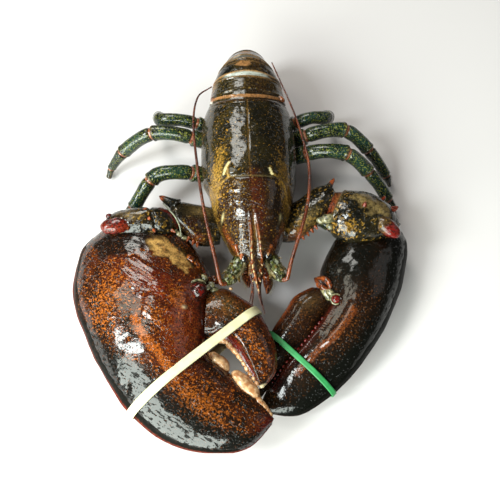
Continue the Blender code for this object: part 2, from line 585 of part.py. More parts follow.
for word, inward, wide, wrist, arm, palm in (
        ("crusher", 1, (11.0, 6.5, 6.0), crusher_wrist, crusher_arm, crusher),
        ("cutter", -1, (8.5, 7.0, 6.0), cutter_wrist, cutter_arm, cutter)):
    carpus = solid(word + "_carpus", wrist(*WRIST_MESH), ARM)
    fuse(carpus, wrist_spines(wrist, inward, wide))
    clear_of(palm, wrist(*WRIST_MESH, GAP), trims=wrist_spines(wrist, inward, wide, GAP))
    merus = solid(word + "_merus", arm(*ARM_MESH), ARM)
    fuse(merus, arm_spines(arm, inward))
    clear_of(merus, wrist(*WRIST_MESH, GAP), carapace_rings(*BODY_MESH, GAP),
             trims=wrist_spines(wrist, inward, wide, GAP))

# Walking legs, one piece each.
for leg_name in LEGS:
    leg = solid("leg_" + leg_name, leg_rings(leg_name, *LEG_MESH), LEG)
    clear_of(leg, carapace_rings(*BODY_MESH, GAP))

# Head: eyes on short stalks, feelers, antennules and the outer mouth legs.
for side, word in ((-1, "right"), (1, "left")):
    stem_path = [(5 + 6 * side, -24, 60), (5 + 10 * side, -30, 61)]
    stalk = solid("eye_" + word, tube_rings(stem_path, (2.2, 2.6), 3, 8), EYE)
    fuse(stalk, [knob((5 + 10 * side, -31.5, 61.5), (3.4, 3.4, 3.4), 0, 6, 9)])
    clear_of(stalk, carapace_rings(*BODY_MESH, GAP))
    base = solid("feeler_base_" + word, feeler_base(side, *STALK_MESH), FEELER)
    stalk_rings = partial(feeler_base, side)
    fuse(base, [thorn(stalk_rings, 0.7, degrees, 7, 2.4, (0, -1.2, 0)) for degrees in (10, 170)])
    whip = solid("feeler_" + word, feeler_whip(side, *WHIP_MESH), FEELER)
    clear_of(base, carapace_rings(*BODY_MESH, GAP), feeler_whip(side, *WHIP_MESH, GAP))
    jaw = solid("mouth_leg_" + word, mouth_leg(side, 9, 10), FEELER)
    clear_of(jaw, carapace_rings(*BODY_MESH, GAP))
    stem = solid("antennule_" + word, small_feeler(side, 5, 8), FEELER)
    fuse(stem, [solid("branch", small_feeler(side, 7, 5, branch)) for branch in (1, 2)])
    clear_of(stem, carapace_rings(*BODY_MESH, GAP), feeler_base(side, *STALK_MESH, GAP))

# Rubber bands, each pulled round both fingers of a claw.
crusher_claw = (crusher_palm(90, 60), crusher_thumb(60, 40))
cutter_claw = (cutter_palm(90, 60), cutter_thumb(60, 40))
band = band_rings(crusher_claw, (-96.2, -159.8), (6.3, -74.5), 36, 36, 8.4)
solid("band_crusher", band, YELLOW, loop=True)
band = band_rings(cutter_claw, (17.8, -87.5), (68.0, -135.0), 20, 36, 4.8)
solid("band_cutter", band, GREEN, loop=True)

for made in bpy.data.objects:
    made.data.shade_smooth()
    made.data.set_sharp_from_angle(angle=math.radians(50))
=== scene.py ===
import math

import bpy
import numpy as np
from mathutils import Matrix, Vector


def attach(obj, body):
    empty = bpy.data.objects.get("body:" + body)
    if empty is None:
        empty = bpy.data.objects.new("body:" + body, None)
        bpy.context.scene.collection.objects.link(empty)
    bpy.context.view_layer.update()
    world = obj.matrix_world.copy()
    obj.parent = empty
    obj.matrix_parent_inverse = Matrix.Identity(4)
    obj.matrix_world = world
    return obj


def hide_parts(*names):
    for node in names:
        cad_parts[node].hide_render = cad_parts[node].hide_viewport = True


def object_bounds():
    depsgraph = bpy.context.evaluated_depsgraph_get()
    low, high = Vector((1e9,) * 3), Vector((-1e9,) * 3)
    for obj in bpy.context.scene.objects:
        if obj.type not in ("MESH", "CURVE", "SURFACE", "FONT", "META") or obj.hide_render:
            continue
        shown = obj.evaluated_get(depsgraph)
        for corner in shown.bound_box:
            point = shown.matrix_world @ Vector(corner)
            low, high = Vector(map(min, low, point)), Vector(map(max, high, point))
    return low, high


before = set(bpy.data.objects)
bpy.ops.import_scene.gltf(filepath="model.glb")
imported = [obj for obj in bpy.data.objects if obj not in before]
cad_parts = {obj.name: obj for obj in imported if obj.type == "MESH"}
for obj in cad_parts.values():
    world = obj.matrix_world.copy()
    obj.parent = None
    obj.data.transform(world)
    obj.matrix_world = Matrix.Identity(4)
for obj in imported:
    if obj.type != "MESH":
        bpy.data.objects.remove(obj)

# American lobster, alive and wet, seen from above and a little in front. Lengths are millimetres in the
# animal's own frame (head towards -Y, its right side at -X) until a piece is made. Angles round a section
# are degrees: 0 at the edge towards +X, 90 on top, 180 at the other edge. The last whole number given to
# cloud, domes, ragged, strip and toothed_row is the seed of that pattern.

CAD_BOX = [list(corner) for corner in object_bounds()]
MM = 0.001
SHIFT = np.array([6.59, 0.65, 0.0])     # from the animal's frame to the part's, whose origin is mid outline
UP = (0.0, 0.0, 1.0)
CAMERA_ELEVATION = 69.0                 # degrees above the floor
CAMERA_DISTANCE = 0.62                  # metres from the lens to the aim point on the floor
FOCAL_SHARE = 650 / 500                 # focal length over picture width
SENSOR_WIDTH = 36.0                     # the camera's sensor, millimetres
FLOOR_HALF = 4.0                        # half the floor's side, metres
FLOOR_DROP = 0.0004                     # metres from the part's lowest points down to the floor
BAND_THICK = 1.3                        # a rubber band's thickness
BAND_CLEAR = 0.6                        # how far it stands off the smooth claw, over the low relief


# ---------------------------------------------------------------- curves and sections

def smooth(knots, values, at):
    """Cubic through values[i] at knots[i]; the slope at a knot is that between its two neighbours."""
    knots, values = np.asarray(knots, float), np.asarray(values, float)
    at = np.clip(np.asarray(at, float), knots[0], knots[-1])
    flat = values.reshape(len(knots), -1)
    before, after = np.r_[0, np.arange(len(knots) - 1)], np.r_[np.arange(1, len(knots)), len(knots) - 1]
    slopes = (flat[after] - flat[before]) / (knots[after] - knots[before])[:, None]
    i = np.clip(np.searchsorted(knots, at, side="right") - 1, 0, len(knots) - 2)
    span = (knots[i + 1] - knots[i])[:, None]
    t = (at - knots[i])[:, None] / span
    low, high = 2 * t**3 - 3 * t**2 + 1, 3 * t**2 - 2 * t**3
    rise, fall = t**3 - 2 * t**2 + t, t**3 - t**2
    out = low * flat[i] + high * flat[i + 1] + span * (rise * slopes[i] + fall * slopes[i + 1])
    return out.reshape(len(at), *values.shape[1:])


def step(value, low, high):
    """0 below low, 1 above high, and an S-shaped change between."""
    t = np.clip((value - low) / (high - low), 0, 1)
    return t * t * (3 - 2 * t)


def unit(vectors):
    """Vectors of length 1 in the same directions."""
    return vectors / np.maximum(np.linalg.norm(vectors, axis=-1, keepdims=True), 1e-9)


def turn_angles(around):
    """Radians of that many even steps round a circle."""
    return np.arange(around) * 2 * math.pi / around


def arc_lengths(points):
    """Share of a broken line's length reached at each of its points."""
    steps = np.linalg.norm(np.diff(np.array(points, float), axis=0), axis=1)
    return np.r_[0, np.cumsum(steps)] / steps.sum()


def rail_rings(stations, along, around, edges=(2.0, 2.0), knots=None):
    """Rings of a body stretched between a left and a right edge line.

    A station is (left point, right point, height above the mid line, depth below it). The section is an
    ellipse whose left and right halves turn into straight slopes as their number in edges goes from 2 to 1.
    """
    left, right, top, bottom = (np.array([s[i] for s in stations], float) for i in range(4))
    knots = np.linspace(0, 1, len(stations)) if knots is None else np.asarray(knots, float)
    at = np.linspace(0, 1, along)
    left, right = smooth(knots, left, at), smooth(knots, right, at)
    heights, depths = smooth(knots, top, at), smooth(knots, bottom, at)
    middle, half = (left + right) / 2, np.linalg.norm(right - left, axis=1) / 2
    side = unit(right - left)
    up = unit(np.array([0, 0, 1.0]) - side * side[:, 2:3])
    angle = turn_angles(around)
    across = np.cos(angle)
    power = np.where(across < 0, edges[0], edges[1])
    lift = np.sign(np.sin(angle)) * (1 - np.abs(across) ** (0.8 + 0.7 * power)) ** (1 / power)
    reach = np.where(lift > 0, heights[:, None], depths[:, None])
    return (middle[:, None] + side[:, None] * (half[:, None] * across)[..., None]
            + up[:, None] * (reach * lift)[..., None])


def tube_rings(points, radii, along, around, tall=1.0, above=UP):
    """Rings of a limb that follows the points with these radii; tall is its height over its width."""
    points, radii = np.array(points, float), np.array(radii, float)
    knots, at = arc_lengths(points), np.linspace(0, 1, along)
    return sweep(smooth(knots, points, at), smooth(knots, radii, at), around, tall, above)


def sweep(path, radius, around, tall=1.0, above=UP):
    """Ellipses of half width radius and half height tall times that, square to the path."""
    ahead = unit(np.gradient(path, axis=0))
    side = unit(np.cross(ahead, np.array(above, float)))
    up = np.cross(side, ahead)
    angle = turn_angles(around)
    return (path[:, None] + side[:, None] * (radius[:, None] * np.cos(angle))[..., None]
            + up[:, None] * (radius[:, None] * tall * np.sin(angle))[..., None])


# ---------------------------------------------------------------- irregularity of grown shell

def scatter(cells, seed):
    """A fixed pseudo-random number from 0 to 1 for each whole-numbered cell, by mixing its bits."""
    low = np.int64(0xFFFFFFFF)
    mixed = (cells[..., 0] * 374761393 + cells[..., 1] * 668265263 + cells[..., 2] * 1440662683
             + seed * 974634777) & low
    mixed = ((mixed ^ (mixed >> 13)) * 1274126177) & low
    return ((mixed ^ (mixed >> 16)) & low) / 4294967296.0


def cloud(points, size, seed):
    """Smooth random field from -1 to 1 that changes over about size: corner values of a cubic lattice,
    eased from each to the next."""
    place = points / size
    cell = np.floor(place).astype(np.int64)
    t = place - cell
    t = t * t * (3 - 2 * t)
    total = np.zeros(points.shape[:-1])
    for corner in np.ndindex(2, 2, 2):
        weight = np.prod(np.where(np.array(corner) == 1, t, 1 - t), axis=-1)
        total += weight * scatter(cell + np.array(corner), seed)
    return 2 * total - 1


def domes(points, spacing, seed, fill=0.48):
    """Round bumps about spacing apart, of height 0 to 1: each lattice cell has one, moved off its middle
    and of its own radius, and a point takes the highest dome over it."""
    place = points / spacing
    cell = np.floor(place - 0.5).astype(np.int64)
    best = np.zeros(points.shape[:-1])
    for corner in np.ndindex(2, 2, 2):
        near = cell + np.array(corner)
        moved = np.stack([scatter(near, seed + k) for k in (1, 2, 3)], axis=-1)
        centre = near + 0.5 + 0.5 * (moved - 0.5)
        radius = fill * (0.55 + 0.45 * scatter(near, seed + 4))
        best = np.maximum(best, 1 - ((place - centre) ** 2).sum(axis=-1) / radius**2)
    return best


# ---------------------------------------------------------------- surfaces and pieces

class Skin:
    """A closed surface over a grid: rings along it, points round each. Marks are amounts from 0 to 1 at
    every point, which the finishes read as attributes. A bell is exp(-(distance / width) squared)."""

    def __init__(self, rings, loop=False, **marks):
        self.at, self.loop = np.array(rings, float), loop
        along, around = self.at.shape[:2]
        self.share = np.repeat(np.linspace(0, 1, along)[:, None], around, axis=1)
        self.turn = np.repeat(np.arange(around)[None] * 360.0 / around, along, axis=0)
        self.marks = {name: np.full((along, around), float(amount)) for name, amount in marks.items()}

    def outward(self):
        """Unit normals, from the steps to the neighbours along and round."""
        along = np.gradient(self.at, axis=0)
        around = np.roll(self.at, -1, axis=1) - np.roll(self.at, 1, axis=1)
        normal = unit(np.cross(along, around))
        from_middle = self.at - self.at.mean(axis=1, keepdims=True)
        return normal * np.sign((normal * from_middle).sum())

    def lift(self, height):
        """Moves every point out along the normal by its height."""
        self.at = self.at + self.outward() * np.broadcast_to(height, self.share.shape)[..., None]
        return self

    def mark(self, **amounts):
        """Adds to the marks; where there is one already, the larger stays."""
        for name, amount in amounts.items():
            before = self.marks.get(name, np.zeros(self.share.shape))
            self.marks[name] = np.clip(np.maximum(before, amount), 0, 1)
        return self

    def top(self):
        """1 on the upper half and 0 on the lower, with a quick change above the edges."""
        return np.clip(4 * np.sin(np.radians(self.turn)), 0, 1)

    def arc(self, degrees, width):
        """Bell over the angle round the section."""
        away = (self.turn - degrees + 180) % 360 - 180
        return np.exp(-(away / width) ** 2)

    def span(self, share, width):
        """Bell over the share of the length."""
        return np.exp(-((self.share - share) / width) ** 2)

    def spot(self, x, y, long, wide, heading=0.0):
        """Bell round a place seen from above, long and wide its half axes, on the upper half."""
        a = math.radians(heading)
        dx, dy = self.at[..., 0] - x, self.at[..., 1] - y
        u, v = dx * math.cos(a) + dy * math.sin(a), dy * math.cos(a) - dx * math.sin(a)
        return np.exp(-(u / long) ** 2 - (v / wide) ** 2) * self.top()

    def stroke(self, points, width):
        """Bell across a smooth line seen from above, on the upper half."""
        line = smooth(np.linspace(0, 1, len(points)), points, np.linspace(0, 1, 40))
        away = ((self.at[..., None, :2] - line) ** 2).sum(axis=-1).min(axis=-1)
        return np.exp(-away / width**2) * self.top()

    def ragged(self, bell, size, seed):
        """The patch where a bell is high, with an irregular edge whose bays are about size wide."""
        return step(bell + 0.3 * cloud(self.at, size, seed), 0.38, 0.58)

    def foot(self, share, degrees):
        """Point of the surface at that share and angle, and its normal."""
        along, around = self.share.shape
        i, j = min(max(round(share * (along - 1)), 1), along - 2), round(degrees / 360 * around) % around
        return self.at[i, j], self.outward()[i, j]

    def strip(self, first, last, start, end, seed):
        """Thin closed band lying on this skin between two ring angles and two shares of its length. It has
        the skin's marks, and dips under the surface along an irregular border."""
        along, around = self.share.shape
        rows = slice(int(start * (along - 1)), int(end * (along - 1)) + 1)
        columns = np.arange(int(first / 360 * around), int(last / 360 * around) + 1) % around
        at, out = self.at[rows][:, columns], self.outward()[rows][:, columns]
        t, u = np.linspace(-1, 1, at.shape[1]), np.linspace(-1, 1, at.shape[0])[:, None]
        over = 0.35 * (1 - t**4) * (1 - u**8) - 0.12 + 0.1 * cloud(at, 5, seed)
        made = Skin(np.concatenate([at + out * over[..., None], (at - 0.8 * out)[:, ::-1]], axis=1))
        for name, amounts in self.marks.items():
            amounts = amounts[rows][:, columns]
            made.marks[name] = np.concatenate([amounts, amounts[:, ::-1]], axis=1)
        return made

    def mesh_data(self):
        """Points, quads, triangles and marks: quads join the rings, and a fan closes each open end."""
        along, around = self.share.shape
        rows = np.arange(along if self.loop else along - 1)[:, None]
        j = np.arange(around)[None]
        k, following = (j + 1) % around, (rows + 1) % along
        corners = (rows * around + j, rows * around + k, following * around + k, following * around + j)
        quads = np.stack(corners, axis=-1).reshape(-1, 4)
        points, marks = self.at.reshape(-1, 3), {name: m.ravel() for name, m in self.marks.items()}
        if self.loop:
            return points, quads, np.zeros((0, 3), int), marks
        j, k = j[0], k[0]
        first, last = along * around, along * around + 1
        fans = np.concatenate([np.stack([k, j, np.full(around, first)], axis=-1),
                               np.stack([j + first - around, k + first - around, np.full(around, last)],
                                        axis=-1)])
        poles = np.stack([self.at[0].mean(axis=0), self.at[-1].mean(axis=0)])
        marks = {name: np.r_[marks[name], m[0].mean(), m[-1].mean()] for name, m in self.marks.items()}
        return np.concatenate([points, poles]), quads, fans, marks


class Hairs:
    """Stiff bristles: each a three-sided spike from a foot along a way."""

    def __init__(self, feet, ways, length, width):
        feet, ways = np.array(feet, float), unit(np.array(ways, float))
        count = len(feet)
        side = unit(np.cross(ways, np.array([0.31, 0.74, 0.6])))
        other = np.cross(ways, side)
        angle = turn_angles(3)[None, :, None]
        base = feet[:, None] + width * (np.cos(angle) * side[:, None] + np.sin(angle) * other[:, None])
        tips = feet + ways * np.broadcast_to(length, (count,))[:, None]
        self.points = np.concatenate([base, tips[:, None]], axis=1).reshape(-1, 3)
        start = np.arange(count)[:, None] * 4
        faces = [start + np.array(corner) for corner in ((0, 1, 3), (1, 2, 3), (2, 0, 3), (0, 2, 1))]
        self.tris = np.concatenate(faces)

    def mesh_data(self):
        """Points, no quads, triangles, and no marks."""
        return self.points, np.zeros((0, 4), int), self.tris, {}


def facing_out(points, quads, tris):
    """Both lists of faces, turned round if the volume they close comes out negative."""
    triangles = np.concatenate([quads[:, [0, 1, 2]], quads[:, [0, 2, 3]], tris])
    a, b, c = (points[triangles[:, i]] for i in range(3))
    if (a * np.cross(b, c)).sum() < 0:
        return quads[:, ::-1], tris[:, ::-1]
    return quads, tris


def piece(name, parts, finish, slot, *nodes):
    """One object from closed surfaces, in the part's frame and inside its box, which replaces nodes."""
    points, quads, tris, offset = [], [], [], 0
    datas = [part.mesh_data() for part in parts]
    names = sorted({key for data in datas for key in data[3]})
    for at, four, three, _ in datas:
        four, three = facing_out(at, four, three)
        points.append(at)
        quads.append(four + offset)
        tris.append(three + offset)
        offset += len(at)
    points, quads, tris = np.concatenate(points), np.concatenate(quads), np.concatenate(tris)
    world = np.clip((points + SHIFT) * MM, CAD_BOX[0], CAD_BOX[1])
    mesh = bpy.data.meshes.new(name)
    mesh.vertices.add(len(world))
    mesh.vertices.foreach_set("co", world.astype(np.float32).ravel())
    mesh.loops.add(quads.size + tris.size)
    mesh.loops.foreach_set("vertex_index", np.concatenate([quads.ravel(), tris.ravel()]).astype(np.int32))
    mesh.polygons.add(len(quads) + len(tris))
    starts = np.r_[np.arange(len(quads)) * 4, quads.size + np.arange(len(tris)) * 3]
    mesh.polygons.foreach_set("loop_start", starts.astype(np.int32))
    mesh.update(calc_edges=True)
    for key in names:
        values = [data[3].get(key, np.zeros(len(data[0]))) for data in datas]
        layer = mesh.attributes.new(key, "FLOAT", "POINT")
        layer.data.foreach_set("value", np.concatenate(values).astype(np.float32))
    mesh.shade_smooth()
    mesh.materials.append(finish)
    made = bpy.data.objects.new(name, mesh)
    bpy.context.scene.collection.objects.link(made)
    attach(made, "root")
    if nodes:
        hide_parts(*nodes)


def egg(centre, radii, heading=0.0, dip=0.0, along=18, around=24, **marks):
    """Ellipsoid: circles of latitude about its long axis, which points along heading and down by dip."""
    a, b = math.radians(heading), math.radians(dip)
    long = np.array([math.cos(a) * math.cos(b), math.sin(a) * math.cos(b), -math.sin(b)])
    wide = np.array([-math.sin(a), math.cos(a), 0.0])
    tall = np.cross(long, wide)
    latitude = np.linspace(0.04, math.pi - 0.04, along)[:, None, None]
    turn = turn_angles(around)[None, :, None]
    rings = (np.array(centre, float) - np.cos(latitude) * radii[0] * long
             + np.sin(latitude) * (np.cos(turn) * radii[1] * wide + np.sin(turn) * radii[2] * tall))
    return Skin(rings, **marks)


def hoop(centre, radius, thick, tall):
    """Ring lying flat: an upright ellipse of half width thick, and tall times as high, carried round."""
    turn, small = turn_angles(40)[:, None], turn_angles(14)[None]
    out = radius + thick * np.cos(small)
    rings = np.broadcast_arrays(out * np.cos(turn), out * np.sin(turn), thick * tall * np.sin(small))
    return Skin(np.array(centre, float) + np.stack(rings, axis=-1), loop=True)


def spine(skin, share, degrees, length, width, lean, **marks):
    """Spine on a skin: a flared foot sunk into it, narrowing along a line that bends over by lean."""
    foot, normal = skin.foot(share, degrees)
    return thorn(foot, normal, length, width, lean, **marks)


def thorn(foot, normal, length, width, lean=(0, 0, 0), **marks):
    """Spine from a foot along a normal, bending over by lean towards its tip."""
    way = unit(np.array(normal, float) + 0.4 * np.array(lean))
    tip = np.array(foot) + unit(np.array(normal, float) + np.array(lean)) * length
    path = [np.array(foot) - way * width * 0.9, np.array(foot) + way * length * 0.2,
            (np.array(foot) + way * length * 0.62 + tip) / 2, tip]
    above = np.eye(3)[np.argmin(np.abs(way))]
    return Skin(tube_rings(path, (width * 1.45, width * 0.98, width * 0.5, width * 0.1), 12, 14,
                           above=above), **marks)


# ---------------------------------------------------------------- the animal's shapes, as rings

def carapace_rings(along, around):
    """Arched shell from its rear edge forward to the tip of the rostrum, leaning back at the rear."""
    # y, centre x, half width, top z, widest z, underside z, lean (y gained per mm below the top)
    stations = np.array([
        (111, -2.4, 36.5, 86.5, 50, 21, 0.36), (104, -2.3, 39.5, 88.2, 50, 18, 0.33),
        (88, -2.0, 43.0, 89.5, 50, 16, 0.25), (67, -1.2, 43.8, 90.0, 50, 15, 0.12),
        (45, -0.4, 42.0, 90.3, 50, 15, 0.0), (38, 0.4, 40.2, 90.0, 50, 15, 0.0),
        (34, 0.9, 38.8, 88.0, 50, 15, 0.0), (30, 1.2, 37.6, 89.0, 50, 15, 0.0),
        (15, 1.8, 33.8, 86.0, 50, 17, -0.05), (0, 2.7, 28.6, 81.5, 50, 21, -0.1),
        (-12, 3.6, 24.0, 76.5, 51, 28, -0.1), (-22, 4.1, 20.6, 71.5, 52, 37, -0.05),
        (-27, 4.3, 17.5, 69.0, 55, 44, 0.0), (-29.5, 4.5, 9.5, 68.0, 61, 55, 0.0),
        (-33, 4.9, 6.2, 67.0, 62.5, 58.5, 0.0), (-38, 5.2, 5.0, 65.8, 62.0, 58.5, 0.0),
        (-44, 5.7, 3.3, 64.6, 61.3, 58.6, 0.0), (-52, 6.4, 2.0, 63.0, 60.5, 58.8, 0.0),
        (-62, 7.4, 0.5, 60.8, 60.3, 59.8, 0.0)])
    count = len(stations)
    rows = smooth(np.arange(count), stations, np.linspace(0, count - 1, along))
    y, x, half, top, widest, under, lean = (rows[:, i:i + 1] for i in range(7))
    angle = turn_angles(around)[None]
    across, lift = np.cos(angle), np.sin(angle)
    lift = np.sign(lift) * (1 - np.abs(across) ** 2.3) ** 0.5
    height = widest + np.where(lift > 0, (top - widest) * lift, (widest - under) * lift)
    inward = np.where(lift < 0, 1 - 0.14 * lift**2, 1.0)
    return np.stack([x + half * across * inward, y + lean * (top - height), height], axis=-1)


def tail_frame(at):
    """Points of the tail's back line at arc lengths, and the way inward from each, in the Y-Z plane: the
    line is straight at first, then goes round a circle about the pivot."""
    at = np.asarray(at, float)
    straight, radius, pivot = 32.0, 42.0, np.array([144.0, 42.0])
    bend = np.maximum((at - straight) / radius, 0)
    point = pivot + radius * np.stack([np.sin(bend), np.cos(bend)], axis=-1)
    point[:, 0] += np.minimum(at - straight, 0)
    lean = np.radians(20) * np.clip(-(at - straight) / straight, 0, 1)
    inward = np.stack([np.sin(lean) - np.cos(lean) * np.sin(bend), -np.cos(bend) * np.cos(lean)], axis=-1)
    return point, unit(inward)


TAIL_CUTS = (0.5, 6.0, 25.8, 48.0, 72.0, 98.0, 130.0)


def tail_rings(part, along, around):
    """Rings of one tail segment: an arched back, half an ellipse; side plates that hang to points, a bell
    on each side that grows and shrinks along the segment; and a flat underside."""
    start, end = TAIL_CUTS[part] + 0.2, TAIL_CUTS[part + 1] - 0.2
    share = np.linspace(0, 1, along)
    at = start + (end - start) * share
    point, inward = tail_frame(at)
    half = smooth([0, 27, 48, 72, 98, 130], [35.5, 32.5, 27.5, 22.2, 19.2, 17.0], at)[:, None]
    depth = smooth([0, 27, 72, 98, 130], [33, 33, 31, 28, 21], at)[:, None]
    arch = 0.76 * depth
    rim = 0.9 * np.clip((share - 0.7) / 0.3, 0, 1)[:, None]
    angle = turn_angles(around)[None]
    across, lift = np.cos(angle), np.sin(angle)
    lobe = np.exp(-((np.abs(across) - 0.86) / 0.16) ** 2) * (lift < -0.1)
    lobe = lobe * (4.5 * np.sin(np.pi * np.clip(share * 0.8 + 0.12, 0, 1)))[:, None]
    lift = np.sign(lift) * (1 - np.abs(across) ** 2) ** np.where(lift > 0, 0.5, 0.3)
    deep = arch - np.where(lift > 0, (arch + rim) * lift, (depth - arch) * lift) + lobe
    centre = -2.3 - 0.02 * at[:, None]
    yz = point[:, None] + inward[:, None] * deep[..., None]
    return np.stack([centre + half * across, yz[..., 0], yz[..., 1]], axis=-1)


def fan_rings(offset, splay, length, width, level, along, around):
    """Flat plate of the tail fan: it leaves the tail, turns down to the floor and lies forward under it.
    The section is an ellipse, its width and thickness cubics of the length; offset and splay set where its
    middle runs, and level how high it lies on the others."""
    share = np.linspace(0, 1, along)
    back = smooth([0, 0.12, 0.3, 1.0], [0, 9, 22, length], share)
    base = smooth([0, 0.12, 0.3, 1.0], [12.5, 6.0, 0.6, 0.0], share) + level
    half = width * smooth([0, 0.25, 0.7, 0.93, 1.0], [0.42, 0.46, 0.5, 0.36, 0.05], share)
    thick = smooth([0, 0.3, 0.8, 1.0], [3.4, 3.0, 2.2, 0.8], share)
    angle = turn_angles(around)[None]
    middle = offset + splay * back[:, None]
    x = -5.0 + middle + half[:, None] * np.cos(angle)
    y = 168.5 - 1.1 * level - back[:, None] + 0.35 * splay * half[:, None] * np.cos(angle)
    z = base[:, None] + thick[:, None] * (0.5 + 0.5 * np.sin(angle))
    return np.stack([x, y, z], axis=-1)


# Edge lines of each limb from its near end to its tip: left point, right point, height above the line
# between them, depth below it. The knots are the shares of the length at which they come.
CRUSHER_PALM = [
    ((-133.5, 5.9, 33), (-63.5, 5.4, 33), 21, 18), ((-151.0, -13.6, 33), (-46.7, -15.6, 33), 28, 27),
    ((-156.5, -45.7, 33), (-32.7, -42.9, 33), 33, 34), ((-151.2, -68.5, 33), (-36.5, -68.5, 33), 34, 34),
    ((-136.3, -99.3, 33), (-37.6, -93.3, 33), 32, 31), ((-118.6, -129.8, 34), (-34.5, -107.5, 34), 28, 27),
    ((-98.5, -155.9, 35), (-19.5, -121.0, 35), 23, 23), ((-68.7, -178.0, 36), (-5.5, -135.1, 36), 18, 18),
    ((-35.0, -187.5, 38), (6.0, -145.5, 38), 13, 13), ((-2.0, -184.0, 39), (13.8, -153.7, 39), 9, 9),
    ((17.0, -165.5, 40), (19.3, -161.3, 40), 1.5, 1.5)]
CRUSHER_KNOTS = (0, .10, .22, .35, .48, .58, .68, .78, .88, .95, 1)
CRUSHER_THUMB = [
    ((-38.5, -96.0, 36), (-36.5, -53.3, 36), 14, 14), ((-31.4, -96.6, 36), (-21, -51.3, 37), 15, 15),
    ((-23.3, -96.6, 37), (-6.1, -60.4, 37), 15, 14), ((-16.1, -102.6, 37), (6.0, -70.2, 38), 14.5, 13.5),
    ((-10.9, -108.6, 38), (14.5, -85.3, 38), 13.5, 12.5),
    ((-5.4, -117.0, 38), (21.6, -103.4, 39), 11.5, 11), ((1.7, -128.7, 39), (21.3, -123.0, 39), 7.5, 7),
    ((9.0, -137.1, 40), (10.6, -136.2, 40), 1.5, 1.5)]
CUTTER_PALM = [
    ((76.9, -1.2, 26), (139.9, 6.8, 26), 16, 15), ((68.0, -17.8, 26), (143.4, -6.1, 26), 23, 22),
    ((62.8, -34.0, 26), (137.3, -35.0, 26), 26, 27), ((67.3, -57.4, 26), (130.2, -55.5, 25), 25, 26.5),
    ((59.4, -78.3, 25), (116.7, -82.7, 24), 21, 22), ((45.8, -93.4, 22), (100.4, -106.5, 22), 17, 17),
    ((31.7, -108.2, 17), (80.3, -129.5, 18), 13, 13.5), ((22.1, -121.0, 13), (60.2, -145.3, 15), 10, 11),
    ((15.2, -132.8, 10), (38.2, -155.1, 12), 7, 7.5), ((6.3, -151.0, 9), (7.1, -152.6, 9), 1.5, 1.5)]
CUTTER_KNOTS = (0, .10, .22, .34, .46, .58, .70, .80, .90, 1)
CUTTER_THUMB = [
    ((58.0, -46.5, 27), (67.0, -54.0, 27), 6, 6), ((51.0, -48.6, 27), (70.6, -62.0, 27), 11, 11),
    ((38.1, -55.5, 26), (63.1, -73.8, 26), 12.5, 12.5), ((32.3, -64.3, 24), (52.0, -89.0, 24), 12, 12),
    ((25.1, -74.4, 21), (43.1, -98.6, 21), 11, 11), ((19.4, -83.0, 18), (32.5, -109.0, 18), 9.5, 9.5),
    ((13.8, -97.8, 14), (25.5, -117.6, 14), 7.5, 7.5), ((10.2, -119.3, 10), (18.6, -127.8, 10), 5, 5),
    ((8.0, -140.0, 8), (8.8, -140.6, 8), 1, 1)]
CRUSHER_WRIST = [
    ((-62.0, 3.0, 46), (-67.0, 17.0, 46), 10, 10), ((-72.0, -7.0, 47), (-77.0, 20.0, 47), 18, 18),
    ((-90.0, -9.5, 47), (-91.0, 20.5, 47), 19, 22), ((-108.0, -9.5, 46), (-110.0, 19.0, 46), 19, 22),
    ((-122.0, -6.5, 45), (-124.0, 14.0, 45), 15, 16), ((-131.0, 0.0, 44), (-131.5, 7.0, 44), 5, 5)]
CUTTER_WRIST = [
    ((66.0, 18.0, 46), (75.0, 38.0, 46), 12, 12), ((73.0, -3.0, 47), (93.0, 38.0, 47), 18, 18),
    ((88.0, -11.0, 47), (111.0, 34.5, 47), 19, 20), ((107.0, -10.0, 46), (127.0, 22.0, 46), 16, 18),
    ((123.0, -5.5, 44), (134.5, 7.0, 44), 6, 7)]
CRUSHER_ARM = [
    ((-27.0, -8.0, 36), (-27.0, 24.0, 36), 10, 10), ((-40.0, -10.6, 38), (-41.0, 27.0, 38), 15, 15),
    ((-50.0, -8.7, 41), (-57.0, 28.5, 41), 17, 16), ((-60.0, -0.5, 44), (-68.0, 27.0, 44), 16, 14),
    ((-67.0, 6.0, 46), (-72.0, 22.0, 46), 11, 10)]
CUTTER_ARM = [
    ((28.0, -6.0, 36), (28.0, 26.0, 36), 10, 10), ((41.0, -5.8, 38), (42.0, 32.0, 38), 15, 15),
    ((54.0, 2.5, 41), (57.0, 42.0, 41), 17, 16), ((64.0, 11.0, 44), (69.0, 45.0, 44), 16, 14),
    ((71.0, 18.0, 46), (77.0, 38.0, 46), 11, 10)]

